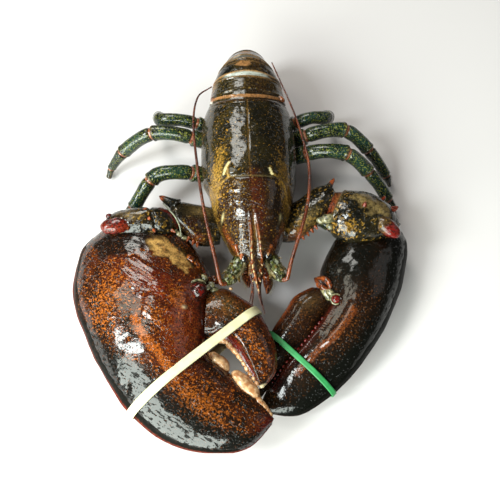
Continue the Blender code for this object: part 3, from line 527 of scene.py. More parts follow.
# Path of each leg from the body to its tip, its radius at those points, and its joints as shares of its
# length.
LEGS = {
    "left_second": (
        [(24, 32, 18), (44, 30, 16), (64, 25, 13), (80, 18, 8), (92, 13, 3.2), (98, 10, 1.0)],
        (6, 5.6, 4.8, 4.2, 2.6, 0.6), (0.24, 0.50, 0.66, 0.86)),
    "right_second": (
        [(-24, 32, 18), (-44, 30, 16), (-64, 27, 13), (-80, 22, 8), (-92, 20, 3.2), (-98, 19, 1.0)],
        (6, 5.6, 4.8, 4.2, 2.6, 0.6), (0.24, 0.50, 0.66, 0.86)),
    "left_third": (
        [(24, 80, 22), (47, 80, 40), (72, 79, 50), (93, 76, 47), (118, 59, 30), (135, 41, 12),
         (140, 32, 1.4)],
        (8.0, 7.2, 6.8, 6.8, 6.0, 4.6, 1.2), (0.225, 0.47, 0.645, 0.86)),
    "right_third": (
        [(-24, 62, 22), (-47, 60, 40), (-68, 57, 50), (-87, 54, 47), (-107, 33, 29), (-117, 22, 13),
         (-121, 16, 1.4)],
        (8.0, 7.2, 6.8, 6.8, 6.0, 4.6, 1.2), (0.265, 0.55, 0.76, 0.90)),
    "left_fourth": (
        [(24, 97, 23), (47, 97, 42), (72, 100, 51), (92, 101, 48), (116, 88, 30), (133, 73, 11),
         (138, 67, 1.4)],
        (8.0, 7.0, 6.6, 6.6, 5.8, 4.4, 1.2), (0.24, 0.485, 0.69, 0.91)),
    "right_fourth": (
        [(-24, 97, 23), (-47, 95, 42), (-72, 97, 51), (-94, 98, 48), (-119, 92, 30), (-135.5, 83, 11),
         (-140, 76, 2.4)],
        (8.0, 7.0, 6.6, 6.6, 6.2, 3.6, 2.4), (0.26, 0.51, 0.77, 0.93)),
    "left_fifth": (
        [(24, 112, 24), (44, 115, 40), (58, 117, 46), (71, 119, 43), (78, 131, 24), (81, 141, 1.4)],
        (7.4, 6.4, 6.0, 6.0, 5.0, 1.2), (0.25, 0.56, 0.68, 0.88)),
    "right_fifth": (
        [(-24, 112, 24), (-46, 112, 41), (-66, 114, 47), (-84, 116, 44), (-90, 130, 25), (-92, 141, 1.4)],
        (7.4, 6.4, 6.0, 6.2, 5.0, 1.2), (0.28, 0.60, 0.72, 0.88)),
}


def band_rings(surfaces, near, far, level, steps, width):
    """Rubber band pulled tight round the given surfaces, in the upright plane through near and far.

    Each edge of the band is the convex outline of the surface points close to that edge, pushed out by
    BAND_CLEAR; the outline comes from the farthest point in each of many directions. The section between
    the two edges is a flat strip with rounded corners.
    """
    near, far = np.array([*near, level], float), np.array([*far, level], float)
    along = unit(far - near)
    normal = np.cross(along, [0, 0, 1.0])
    points = np.concatenate([s.reshape(-1, 3) for s in surfaces]) - (near + far) / 2
    offset = points @ normal
    flat = np.stack([points @ along, points[:, 2]], axis=1)
    turns = turn_angles(144)
    ways = np.stack([np.cos(turns), np.sin(turns)], axis=1)
    edges = []
    for side in (-1, 1):
        close = np.abs(offset - side * width / 4) < width / 4 + 2.0
        reach = (flat[close] @ ways.T).max(axis=0) + BAND_CLEAR
        ahead = np.roll(reach, -1)
        slide = (ahead - reach * math.cos(turns[1])) / math.sin(turns[1])
        outline = ways * reach[:, None] + np.stack([-ways[:, 1], ways[:, 0]], axis=1) * slide[:, None]
        closed = np.concatenate([outline, outline[:1]])
        travelled = np.r_[0, np.cumsum(np.linalg.norm(np.diff(closed, axis=0), axis=1))]
        wanted = np.linspace(0, travelled[-1], steps, endpoint=False)
        edges.append(np.stack([np.interp(wanted, travelled, closed[:, i]) for i in (0, 1)], axis=1))
    outward = [np.roll(edge, -1, axis=0) - np.roll(edge, 1, axis=0) for edge in edges]
    outward = [unit(np.stack([o[:, 1], -o[:, 0]], axis=1)) for o in outward]
    corner, rings = 0.35, []
    for across, out in ((-1, corner), (-1, 1 - corner), (-1 + corner / 5, 1), (-0.5, 1), (0, 1), (0.5, 1),
                        (1 - corner / 5, 1), (1, 1 - corner), (1, corner), (1 - corner / 5, 0), (0, 0),
                        (-1 + corner / 5, 0)):
        t = (across + 1) / 2
        line = edges[0] * (1 - t) + edges[1] * t
        line = line + (outward[0] * (1 - t) + outward[1] * t) * out * BAND_THICK
        rings.append((near + far) / 2 + line[:, :1] * along + line[:, 1:] * np.array([0, 0, 1.0])
                     + across * width / 2 * normal)
    return np.stack(rings, axis=1)


# ---------------------------------------------------------------- finishes

def colour(code):
    """Linear colour of an sRGB hex value."""
    parts = [int(code[i:i + 2], 16) / 255 for i in (1, 3, 5)]
    return (*(p / 12.92 if p <= 0.04045 else ((p + 0.055) / 1.055) ** 2.4 for p in parts), 1.0)


def add(tree, kind, inputs, **settings):
    """Adds one node, with its settings, and its sockets set to values or linked to other sockets."""
    made = tree.nodes.new(kind)
    for name, value in settings.items():
        setattr(made, name, value)
    for name, value in inputs.items():
        if isinstance(value, bpy.types.NodeSocket):
            tree.links.new(value, made.inputs[name])
        else:
            made.inputs[name].default_value = value
    return made


# What the rows of a finish name: a node's type, the sockets that a row fills in turn, its output, settings.
PLACE = ("ShaderNodeTexCoord", (), "Object", {})
TURN = ("ShaderNodeMapping", ("Vector", "Rotation"), 0, {})
STRETCH = ("ShaderNodeVectorMath", (0, 1), 0, {"operation": "MULTIPLY"})
NOISE = ("ShaderNodeTexNoise", ("Vector", "Scale", "Detail", "Roughness"), "Fac", {})
CELLS = ("ShaderNodeTexVoronoi", ("Vector", "Scale"), "Distance", {})
RANGE = ("ShaderNodeMapRange", ("Value", "To Min", "To Max"), "Result", {})
STEP = ("ShaderNodeMapRange", ("Value", "From Min", "From Max", "To Min", "To Max"), "Result",
        {"interpolation_type": "SMOOTHSTEP"})
# The first value times the second, plus the third.
SUM = ("ShaderNodeMath", (0, 1, 2), 0, {"operation": "MULTIPLY_ADD"})
# How much of what is over shows, what is under, and what is over.
MIX = ("ShaderNodeMix", (0, 6, 7), 2, {"data_type": "RGBA"})
BUMP = ("ShaderNodeBump", ("Height", "Distance", "Strength"), "Normal", {})
# Marks on a shell: ochre blotches, warm areas, red, orange and pale places, dusky ones, and worn ones.
MARKS = ("speck", "ruddy", "red", "orange", "pale", "dusk", "tan")
# The nine colours of a shell finish, in the order in which they are given.
TONES = ("ground", "shade", "ruddy", "ochre", "bright", "red", "orange", "tan", "pale")


def wire(tree, shader, rows, ends):
    """Adds a finish's nodes row by row, and links the outputs that ends names to the shader's sockets.

    A row is a name for its output, what the node is, and values for its sockets, where a string stands for
    the output of the last row with that name.
    """
    outputs = {}
    for name, (kind, sockets, output, settings), *values in rows:
        values = [outputs[value] if isinstance(value, str) else value for value in values]
        outputs[name] = add(tree, kind, dict(zip(sockets, values)), **settings).outputs[output]
    for socket, name in ends.items():
        tree.links.new(outputs[name], shader.inputs[socket])


def waves(size_mm):
    """Scale of a pattern whose features are about this size, as its coordinates are metres."""
    return 1 / (size_mm * MM)


def new_finish(name, **surface):
    """Material with a Principled surface whose sockets are set as given, and its tree."""
    made = bpy.data.materials.new(name)
    made.use_nodes = True
    tree = made.node_tree
    shader = tree.nodes["Principled BSDF"]
    for socket, value in surface.items():
        shader.inputs[socket.replace("_", " ")].default_value = value
    return made, tree, shader


def wet_shell(name, tones, blotch_mm, grain, scored=0.42, wet=1.0):
    """Lobster shell: chitin hardened with lime, grown and never worked, under a film of sea water.

    The ground drifts between two tones over centimetres. Ochre blotches with soft edges lie on it, more of
    them where the speck mark is high, and small dark dots are strewn over both. Small pits, each the root
    of a bristle, and fine scratches that run along the grain heading break up the reflections, more of them
    as scored is higher. The coat is the water film, as thick as wet: half of it is gone where the shell is
    worn to tan, and it is broken into dashes where it is dusky. The hard layer under it reflects little,
    since the two bend light almost alike. Pits and dots are drawn about twice as coarse as they are, to show.
    """
    made, tree, shader = new_finish(name, IOR=1.56, Metallic=0.0, Coat_Roughness=0.06,
                                    Coat_IOR=1.45, Specular_IOR_Level=0.02, Roughness=0.45)
    tones = dict(zip(TONES, map(colour, tones.split())))
    rows = [("place", PLACE)]
    rows += [(key, ("ShaderNodeAttribute", (), "Fac", {"attribute_name": key})) for key in MARKS]
    rows += [("turned", TURN, "place", (0, 0, -math.radians(grain))),
             ("drawn", STRETCH, "turned", (0.4, 1.0, 1.0)),
             ("drift", NOISE, "place", waves(17), 3.0), ("patches", NOISE, "place", waves(7), 2.0),
             ("blots", NOISE, "place", waves(blotch_mm), 3.0, 0.55),
             ("dots", NOISE, "place", waves(0.55 * blotch_mm), 1.5),
             ("fine", NOISE, "place", waves(1.0), 3.0), ("grained", NOISE, "drawn", waves(2.3), 2.0),
             ("scratches", STEP, "grained", scored - 0.09, scored),
             ("pits", CELLS, "place", waves(2.5)), ("pores", STEP, "pits", 0.11, 0.26)]
    # The water film.
    rows += [("breaks", STEP, "grained", 0.39, 0.45, -0.85 * wet, 0.0), ("worn", SUM, "tan", -0.5 * wet, wet),
             ("film", SUM, "dusk", "breaks", "worn")]
    # The ground, and over it layer by layer: warm areas, ochre blotches, worn and coloured patches.
    rows += [("tone", SUM, "patches", 0.7, "drift"), ("tone", STEP, "tone", 0.68, 1.02),
             ("shown", MIX, "tone", tones["shade"], tones["ground"]),
             ("thick", SUM, "speck", 0.26, "blots"), ("cover", STEP, "thick", 0.60, 0.74),
             ("tone", STEP, "blots", 0.46, 0.66), ("blotch", MIX, "tone", tones["ochre"], tones["bright"])]
    rows += [("amount", STEP, "patches", 0.3, 0.55, 0.7), ("amount", SUM, "ruddy", "amount", 0.0),
             ("shown", MIX, "amount", "shown", tones["ruddy"]), ("shown", MIX, "cover", "shown", "blotch")]
    for mark, low, least in (("tan", 0.34, 0.4), ("red", 0.3, 0.6), ("orange", 0.34, 0.5)):
        rows += [("amount", STEP, "blots", low, 0.5, least), ("amount", SUM, mark, "amount", 0.0),
                 ("shown", MIX, "amount", "shown", tones[mark])]
    # Dark dots, fewer on worn shell; dusky areas; pale places; and painted shade in the pits and scratches.
    rows += [("amount", SUM, "tan", 0.5, 0.22), ("dark", MIX, "amount", colour("#0b0b07"), "shown"),
             ("amount", STEP, "dots", 0.51, 0.59), ("shown", MIX, "amount", "shown", "dark"),
             ("amount", STEP, "cover", 1.0, 0.3, 0.88), ("amount", SUM, "dusk", "amount", 0.0),
             ("shown", MIX, "amount", "shown", colour("#080906")),
             ("shown", MIX, "pale", "shown", tones["pale"]),
             # Painted shade: the colour darkens in the pits and the scratches.
             ("amount", SUM, "pores", 0.8, "scratches"), ("amount", SUM, "amount", 0.36, 0.36),
             ("shown", MIX, "amount", colour("#050403"), "shown")]
    # Relief of the pits, the fine grain, the dots and the scratches.
    rows += [("height", SUM, "pores", 1.5, 0.0), ("height", SUM, "fine", 0.1, "height"),
             ("height", SUM, "dots", 0.25, "height"), ("height", SUM, "scratches", 1.5, "height"),
             ("bump", BUMP, "height", 0.2 * MM, 0.75)]
    wire(tree, shader, rows, {"Base Color": "shown", "Coat Weight": "film",
                              "Normal": "bump", "Coat Normal": "bump"})
    return made


def plain(name, light, dark, size_mm, roughness, bump_mm, **surface):
    """A finish of two close tones that drift into each other over size_mm, and its roughness with them,
    with a grain four times finer and bump_mm deep."""
    made, tree, shader = new_finish(name, **surface)
    wire(tree, shader, [
        ("place", PLACE), ("drift", NOISE, "place", waves(size_mm), 4.0, 0.6),
        ("tone", STEP, "drift", 0.38, 0.62), ("shown", MIX, "tone", colour(dark), colour(light)),
        ("rough", RANGE, "drift", roughness * 0.8, roughness * 1.2),
        ("grain", NOISE, "place", waves(size_mm / 4)), ("bump", BUMP, "grain", bump_mm * MM, 0.7)],
        {"Base Color": "shown", "Roughness": "rough", "Normal": "bump"})
    return made


# Back: olive brown to near black, with ochre flecks on the flanks, and a broad wet shine.
SHELL_BACK = wet_shell("wet_shell_back", "#2f260d #151106 #3c180a #6a4c1c #a67828 "
                       "#5c180c #8a4418 #a07c38 #d2c48e", 1.8, 0)
# Tail: olive bronze, smoother and duller in colour than the back, with worn tan places.
SHELL_TAIL = wet_shell("wet_shell_tail", "#382d11 #181507 #3a2210 #503c18 #6a5224 "
                       "#6a1e10 #8e4c26 #a0784a #b4bab0", 2.4, 0)
# Crusher claw: warm red brown with dense orange blotches, black towards its outer edge.
SHELL_CRUSHER = wet_shell("wet_shell_crusher", "#421c08 #1a0e05 #6a1e07 #7a4012 #a5581c "
                          "#5e0f09 #a4541c #c89c58 #d8c49a", 1.9, -30)
# Outer edge of both claws: painted shade, a strip of darker tones with almost no water film
# laid over the rim, so it stays dark and dull.
PAINTED_SHADE_EDGE = wet_shell("painted_shade_shell_edge", "#24120a #100a06 #3c140a #4a2a12 #6a3a18 "
                      "#6e281e #8a441c #665030 #d8c49a", 1.9, -30, wet=0.04)
# Cutter claw: near black, red brown along its middle, with a thinner film.
SHELL_CUTTER = wet_shell("wet_shell_cutter", "#1c1006 #0a0603 #2c1409 #40220c #5c3414 "
                         "#5e120c #8a441c #665030 #d8c49a", 1.9, 55, scored=0.35, wet=0.75)
# Arms and wrists: black brown with large ochre blotches.
SHELL_ARM = wet_shell("wet_shell_arm", "#221c0d #0d0c06 #34180b #604416 #96702a "
                      "#66120e #94441c #7c6840 #b4b89c", 2.8, 20)
# Legs: bottle green with small olive yellow flecks.
SHELL_LEG = wet_shell("wet_shell_leg", "#18352c #0b1813 #3a2010 #50541f #787a34 "
                      "#5e1c12 #864626 #5a5a34 #c8cdb4", 1.4, 90)
# Feelers and their stems: dark red brown.
SHELL_FEELER = wet_shell("wet_shell_feeler", "#3c160b #220d08 #4c1c0f #643214 #964e24 "
                         "#5c150b #a65426 #6c5c34 #d8c49a", 1.8, 0)
# Teeth: thick uncoloured chitin and lime, polished by biting; warm ivory with a soft shine.
TEETH = plain("tooth_lime", "#d9b183", "#ad7446", 4.0, 0.32, 0.2, IOR=1.56, Coat_Weight=0.5)
# Joint membrane: soft uncoloured skin, wet; the flesh shows through it as a dull orange pink.
MEMBRANE = plain("joint_membrane", "#a86a46", "#642c18", 2.4, 0.35, 0.2, IOR=1.45, Coat_Weight=0.7)
# Hinge knobs: bare lime with green slime in its hollows, glossy and greenish white.
CONDYLE = plain("hinge_lime", "#8f8661", "#3c3e28", 2.2, 0.3, 0.3, IOR=1.56, Coat_Weight=0.8)
# Eye: facets too fine to see, so a smooth black bead with one sharp light.
EYE = plain("eye_lens", "#0b0706", "#020202", 2.0, 0.06, 0.02, IOR=1.5, Coat_Weight=1.0)
# Bristles: fine horny hairs, straw coloured and dull.
BRISTLE = plain("horny_bristle", "#b9aa7c", "#6e5c34", 4.0, 0.45, 0.05, IOR=1.54)
# Rubber bands: natural rubber, rolled and cut, with an even colour and a soft sheen.
RUBBER_YELLOW = plain("rubber_yellow", "#dfd9b2", "#d6cfa2", 9.0, 0.5, 0.05, IOR=1.52)
RUBBER_GREEN = plain("rubber_green", "#2b8b4b", "#257d42", 9.0, 0.5, 0.05, IOR=1.52)


# ---------------------------------------------------------------- body shell

def back_shell():
    """Carapace: a granular front, a smooth pitted rear, the neck groove between, and a ridged rostrum."""
    skin = Skin(carapace_rings(330, 256))
    x, y = skin.at[..., 0], skin.at[..., 1]
    middle = skin.at[:, [0, 128], 0].mean(axis=1, keepdims=True)     # half way between the two edges
    off = x - middle - 1.0 * step(-y, 0, 22)
    top, front = skin.top(), step(-y, -38, -28)
    # Two ridges along the beak and on behind it, and the groove between them.
    ridge_at = smooth([-60, -48, -38, -28, -8, 14], [0.7, 2.3, 3.9, 3.8, 3.0, 2.2], y.ravel())
    ridge_at = ridge_at.reshape(y.shape)
    beak = step(-y, -12, 14)
    ridges = np.exp(-((np.abs(off) - ridge_at) / 1.0) ** 2) * top * beak
    groove = np.exp(-(off / (0.5 * ridge_at)) ** 2) * top * beak
    # The groove over the neck, the line down the middle, and raised lines on cheeks and brows.
    neck = np.exp(-((y - 33.6 - 0.002 * off**2) / 0.8) ** 2) * step(-np.abs(off), -21, -17) * top
    midline = np.exp(-(off / 0.6) ** 2) * top * step(y, -14, -4)
    cheek = np.maximum(skin.stroke([(-18, 34), (-21, 32.5), (-25.5, 28.6), (-28.4, 23.7), (-30.5, 14)], 1.1),
                       skin.stroke([(21, 36.5), (25, 35), (28.7, 31.6), (30.6, 25.6), (33, 17)], 1.1))
    horns = np.maximum(skin.stroke([(-18.0, 46.5), (-19.2, 39.5), (-17.7, 34)], 1.0),
                       skin.stroke([(17.3, 43), (18.6, 38), (21, 36.5)], 1.0))
    brows = np.maximum(skin.stroke([(-23, -4), (-18, -14), (-13.5, -21), (-9, -28.5)], 1.5),
                       0.7 * skin.stroke([(29, 0), (25, -11), (21, -20), (16, -27)], 1.5))
    # The rear rim with a groove before it, and the ribbed hollow of the belly.
    rim, rim_groove = skin.span(0.012, 0.012), skin.span(0.040, 0.007)
    belly = np.clip(-3 * np.sin(np.radians(skin.turn)) - 1.9, 0, 1) * step(-y, -112, -96) * step(y, -24, -8)
    # Unevenness, coarse to fine: ripples and pits on the rear half, granules on the front half.
    ripple = cloud(skin.at * [0.22, 1, 1], 4.2, 8)
    height = 0.45 * cloud(skin.at, 19, 1) + 0.22 * cloud(skin.at, 8, 2) + 0.10 * cloud(skin.at, 4, 6)
    height += (1 - front) * 0.11 * ripple + front * 0.13 * cloud(skin.at * [0.25, 1, 1], 2.4, 9)
    height += front * (0.16 * domes(skin.at, 2.6, 3) + 0.09 * domes(skin.at, 1.5, 4))
    height -= (1 - front) * 0.16 * domes(skin.at, 3.1, 5, 0.3)
    # Three short furrows across the right side of the front half.
    for y_at in (18.8, 9.0, -2.8):
        height -= 0.5 * skin.stroke([(-16, y_at + 1.5), (-8, y_at), (-1, y_at - 0.5)], 1.5)
    height += 1.2 * ridges - 0.9 * groove - 0.4 * neck - 0.2 * midline + 0.5 * cheek + 0.5 * horns
    height += 1.0 * brows + 0.3 * rim - 0.3 * rim_groove - 2.6 * belly
    height -= belly * 0.8 * np.cos(y * 2 * math.pi / 14.0)
    skin.lift(height * step(y, -61, -52))
    # Ochre flanks, a warm stripe on the left of the middle, orange ridges, worn lines, pale places, and
    # painted highlights beside the horns and on two tubercles.
    flank = np.maximum(skin.spot(-30, 32, 32, 6, 80), 1.1 * skin.spot(31, 28, 30, 6, 98))
    skin.mark(speck=0.03 + 0.2 * front * step(-off, 4, 12) + 1.0 * flank,
              tan=0.35 * skin.ragged(flank, 2.2, 12) + 0.1 * flank)
    skin.mark(ruddy=0.4 * front + 0.95 * skin.stroke([(4, 36), (6, 20), (7, 4), (6.5, -10)], 5.5))
    skin.mark(orange=0.95 * ridges * step(-y, -2, 12) + 0.85 * brows * (0.8 + 0.5 * cloud(skin.at, 3, 11))
              + 0.1 * midline + 0.12 * rim * top)
    skin.mark(tan=0.22 * midline * (1 - front) + 0.25 * neck + 0.3 * groove * step(y, -26, -12) + 0.8 * cheek
              + 0.9 * horns + (1 - top) * (1 - belly) * 0.3)
    beads = ridges * step(cloud(skin.at, 1.7, 10), 0.15, 0.45) * step(-y, 10, 26)
    # Painted highlights: pale wedges beside the horns.
    painted_horn_highlights = skin.ragged(np.maximum(skin.stroke([(-22.6, 37), (-20.6, 42), (-18.4, 46.5)], 1.4),
                                   skin.stroke([(16.8, 41), (18.7, 36.5)], 1.2)), 3, 7)
    # The two small pale marks on tubercles of the front half are painted highlights as well.
    skin.mark(pale=0.75 * painted_horn_highlights + 0.7 * skin.spot(-23.5, 3.5, 2.6, 1.0, 75) + 0.4 * belly + 0.5 * beads
              + 0.08 * neck + 0.6 * skin.spot(25.8, 2.5, 2.4, 0.8, 80))
    # Dusky patches; the darkening in the groove between the beak's ridges is painted shade.
    skin.mark(dusk=0.42 * (1 - front) * step(off, 0, 4) * top + 0.6 * skin.spot(23, 12, 24, 8, 96)
              + 0.3 * groove * step(-y, 20, 30) + 0.5 * skin.spot(-27, -4, 16, 3, 118))
    # Four pairs of spines along the beak, and one spine behind each eye.
    spines = []
    for y_at, reach, length in ((-28, 4.4, 3.2), (-36, 4.1, 3.8), (-43, 3.3, 3.6), (-50, 2.2, 3.2)):
        for side in (-1, 1):
            foot = np.array([4.9 - 0.035 * (y_at + 29) + side * reach, y_at, 64.6 + 0.14 * (y_at + 31)])
            spike = thorn(foot, (side * 0.45, -1.0, 0.35), length, 1.1, red=0.6, orange=0.7)
            spines.append(spike.mark(pale=0.4 * step(spike.share, 0.6, 0.85)))
    for side, foot in ((-1, (-11.5, -22.5, 65.3)), (1, (17.0, -22.5, 65.3))):
        spike = thorn(foot, (side * -0.25, -1.0, 0.02), 8, 1.9, orange=0.75)
        spines.append(spike.mark(pale=0.2 * step(spike.share, 0.7, 0.9)))
    piece("back_shell", [skin, *spines], SHELL_BACK, "shell_back", "carapace")


def tail_segments():
    """Six overlapping plates: each has a smooth sunk front that slides under the one ahead, a pitted back
    and a raised rear rim, and side plates that hang to points."""
    words = ("one", "two", "three", "four", "five", "six")
    for number, word in enumerate(words):
        rows = max(18, int((TAIL_CUTS[number + 1] - TAIL_CUTS[number]) * 1.7))
        skin = Skin(tail_rings(number, rows, 180))
        top, share = skin.top(), skin.share
        over_middle = skin.arc(90, 34)
        front_at = 0.10 + (0.08 if number == 2 else 0.18) * over_middle
        facet = 1 - step(share, front_at, front_at + 0.05)
        rim, groove = skin.span(0.97, 0.04), skin.span(0.88, 0.03)
        edge = np.exp(-((share - front_at - 0.06) / 0.04) ** 2) * top
        height = 0.30 * cloud(skin.at, 11, 20 + number) + 0.12 * cloud(skin.at, 4, 21)
        if number:
            height += -0.8 * facet + 0.4 * rim - 0.4 * groove + 0.3 * edge
            ripple = cloud(skin.at * [0.22, 1, 1], 4.0, 22)
            height += (1 - facet) * (0.10 * ripple - 0.18 * domes(skin.at, 2.8, 30 + number, 0.3))
        skin.lift(height * (1.0 if number else 0.4))
        skin.mark(speck=0.06 * top, ruddy=0.5 * skin.arc(70, 30))
        parts = [skin]
        if number == 0:
            skin.mark(tan=0.9 * step(share, 0.3, 0.5) * top, orange=0.35 * step(share, 0.3, 0.5) * top)
            for place, heading in (((28.5, 121.5, 70.5), -50), ((-33.6, 120.5, 68.5), 50)):
                knob = egg(place, (4.2, 2.6, 2.8), heading, orange=1.0)
                parts.append(knob.lift(0.4 * cloud(knob.at, 2.5, 25)).mark(pale=0.7 * knob.span(0.1, 0.25)))
        else:
            sides = np.maximum(skin.arc(174, 12), skin.arc(6, 12))
            skin.mark(orange=0.95 * sides * skin.span(0.3, 0.28), tan=0.5 * rim * top)
            skin.mark(tan=0.7 * np.maximum(skin.arc(160, 10), skin.arc(20, 10)) * skin.span(0.75, 0.25))
            skin.mark(tan=0.9 * edge * (number > 1), speck=0.5 * edge)
        if number in (2, 3, 4):
            # Pale smooth fronts: partly the facets' own colour, and on the third plate partly painted
            # highlight.
            skin.mark(pale=(0.9 if number == 2 else 0.2) * facet * step(over_middle, 0.1, 0.5))
            middle_patch = skin.ragged(skin.arc(94, 15) * skin.span(0.62, 0.2), 4, 23)
            skin.mark(tan=0.9 * middle_patch, orange=0.25 * middle_patch)
            skin.mark(tan=0.5 * skin.arc(90, 40) * skin.span(0.80, 0.06))
            skin.mark(dusk=0.85 * skin.ragged(skin.arc(130, 22) * skin.span(0.5, 0.3), 5, 24))
        skin.mark(tan=0.45 * (1 - top))
        piece("tail_plate_" + word, parts, SHELL_TAIL, "shell_tail", "pleonite_" + word)


def tail_fan():
    """Five flat plates with a low mid rib, fine rays towards the edge, and a fringe of bristles."""
    plates = (("middle", "telson", 0, 0, 66, 32, 0.0),
              ("left_inner", "uropod_left_inner", 13, 0.10, 62, 25, 3.9),
              ("right_inner", "uropod_right_inner", -13, -0.10, 62, 25, 3.9),
              ("left_outer", "uropod_left_outer", 14, 0.26, 55, 24, 7.8),
              ("right_outer", "uropod_right_outer", -14, -0.26, 55, 24, 7.8))
    for word, node, *numbers in plates:
        skin = Skin(fan_rings(*numbers, 70, 64))
        rib = skin.arc(90, 14) * step(skin.share, 0.1, 0.3)
        rays = np.cos(np.radians(skin.turn) * 26) * step(skin.share, 0.5, 0.9)
        skin.lift(0.25 * rib + 0.08 * rays + 0.1 * cloud(skin.at, 6, 44))
        skin.mark(speck=0.35, tan=0.3, orange=0.5 * step(skin.share, 0.88, 0.97))
        # The bristles stand on the rows from 48 on, beside both edges.
        edge = skin.at[48:, [2, 30]].reshape(-1, 3)
        inward = skin.at[48:].mean(axis=1, keepdims=True)
        ways = (skin.at[48:, [2, 30]] - inward).reshape(-1, 3) * [0.5, 0.5, 0.0] + [0, -4, 0.2]
        fringe = Hairs(edge, ways, 3.5, 0.12)
        piece("tail_fan_" + word, [skin], SHELL_TAIL, "shell_tail", node)
        piece("tail_fringe_" + word, [fringe], BRISTLE, "shell_tail")


# ---------------------------------------------------------------- great claws

def toothed_row(line, count, first, last, seed, **marks):
    """Row of round teeth along a line, shrinking from first to last and slightly uneven."""
    at = np.linspace(0, 1, count)
    places = smooth(np.linspace(0, 1, len(line)), line, at)
    uneven = scatter(np.stack([np.arange(count)] * 3, axis=-1), seed)
    ways = np.gradient(places, axis=0)
    teeth = []
    for i in range(count):
        size = (first + (last - first) * at[i]) * (0.8 + 0.4 * uneven[i])
        heading = math.degrees(math.atan2(ways[i, 1], ways[i, 0]))
        tooth = egg(places[i], (size * 1.1, size * 0.9, size), heading, along=14, around=16, **marks)
        teeth.append(tooth.lift(0.08 * size * cloud(tooth.at, size, seed + i)))
    return teeth


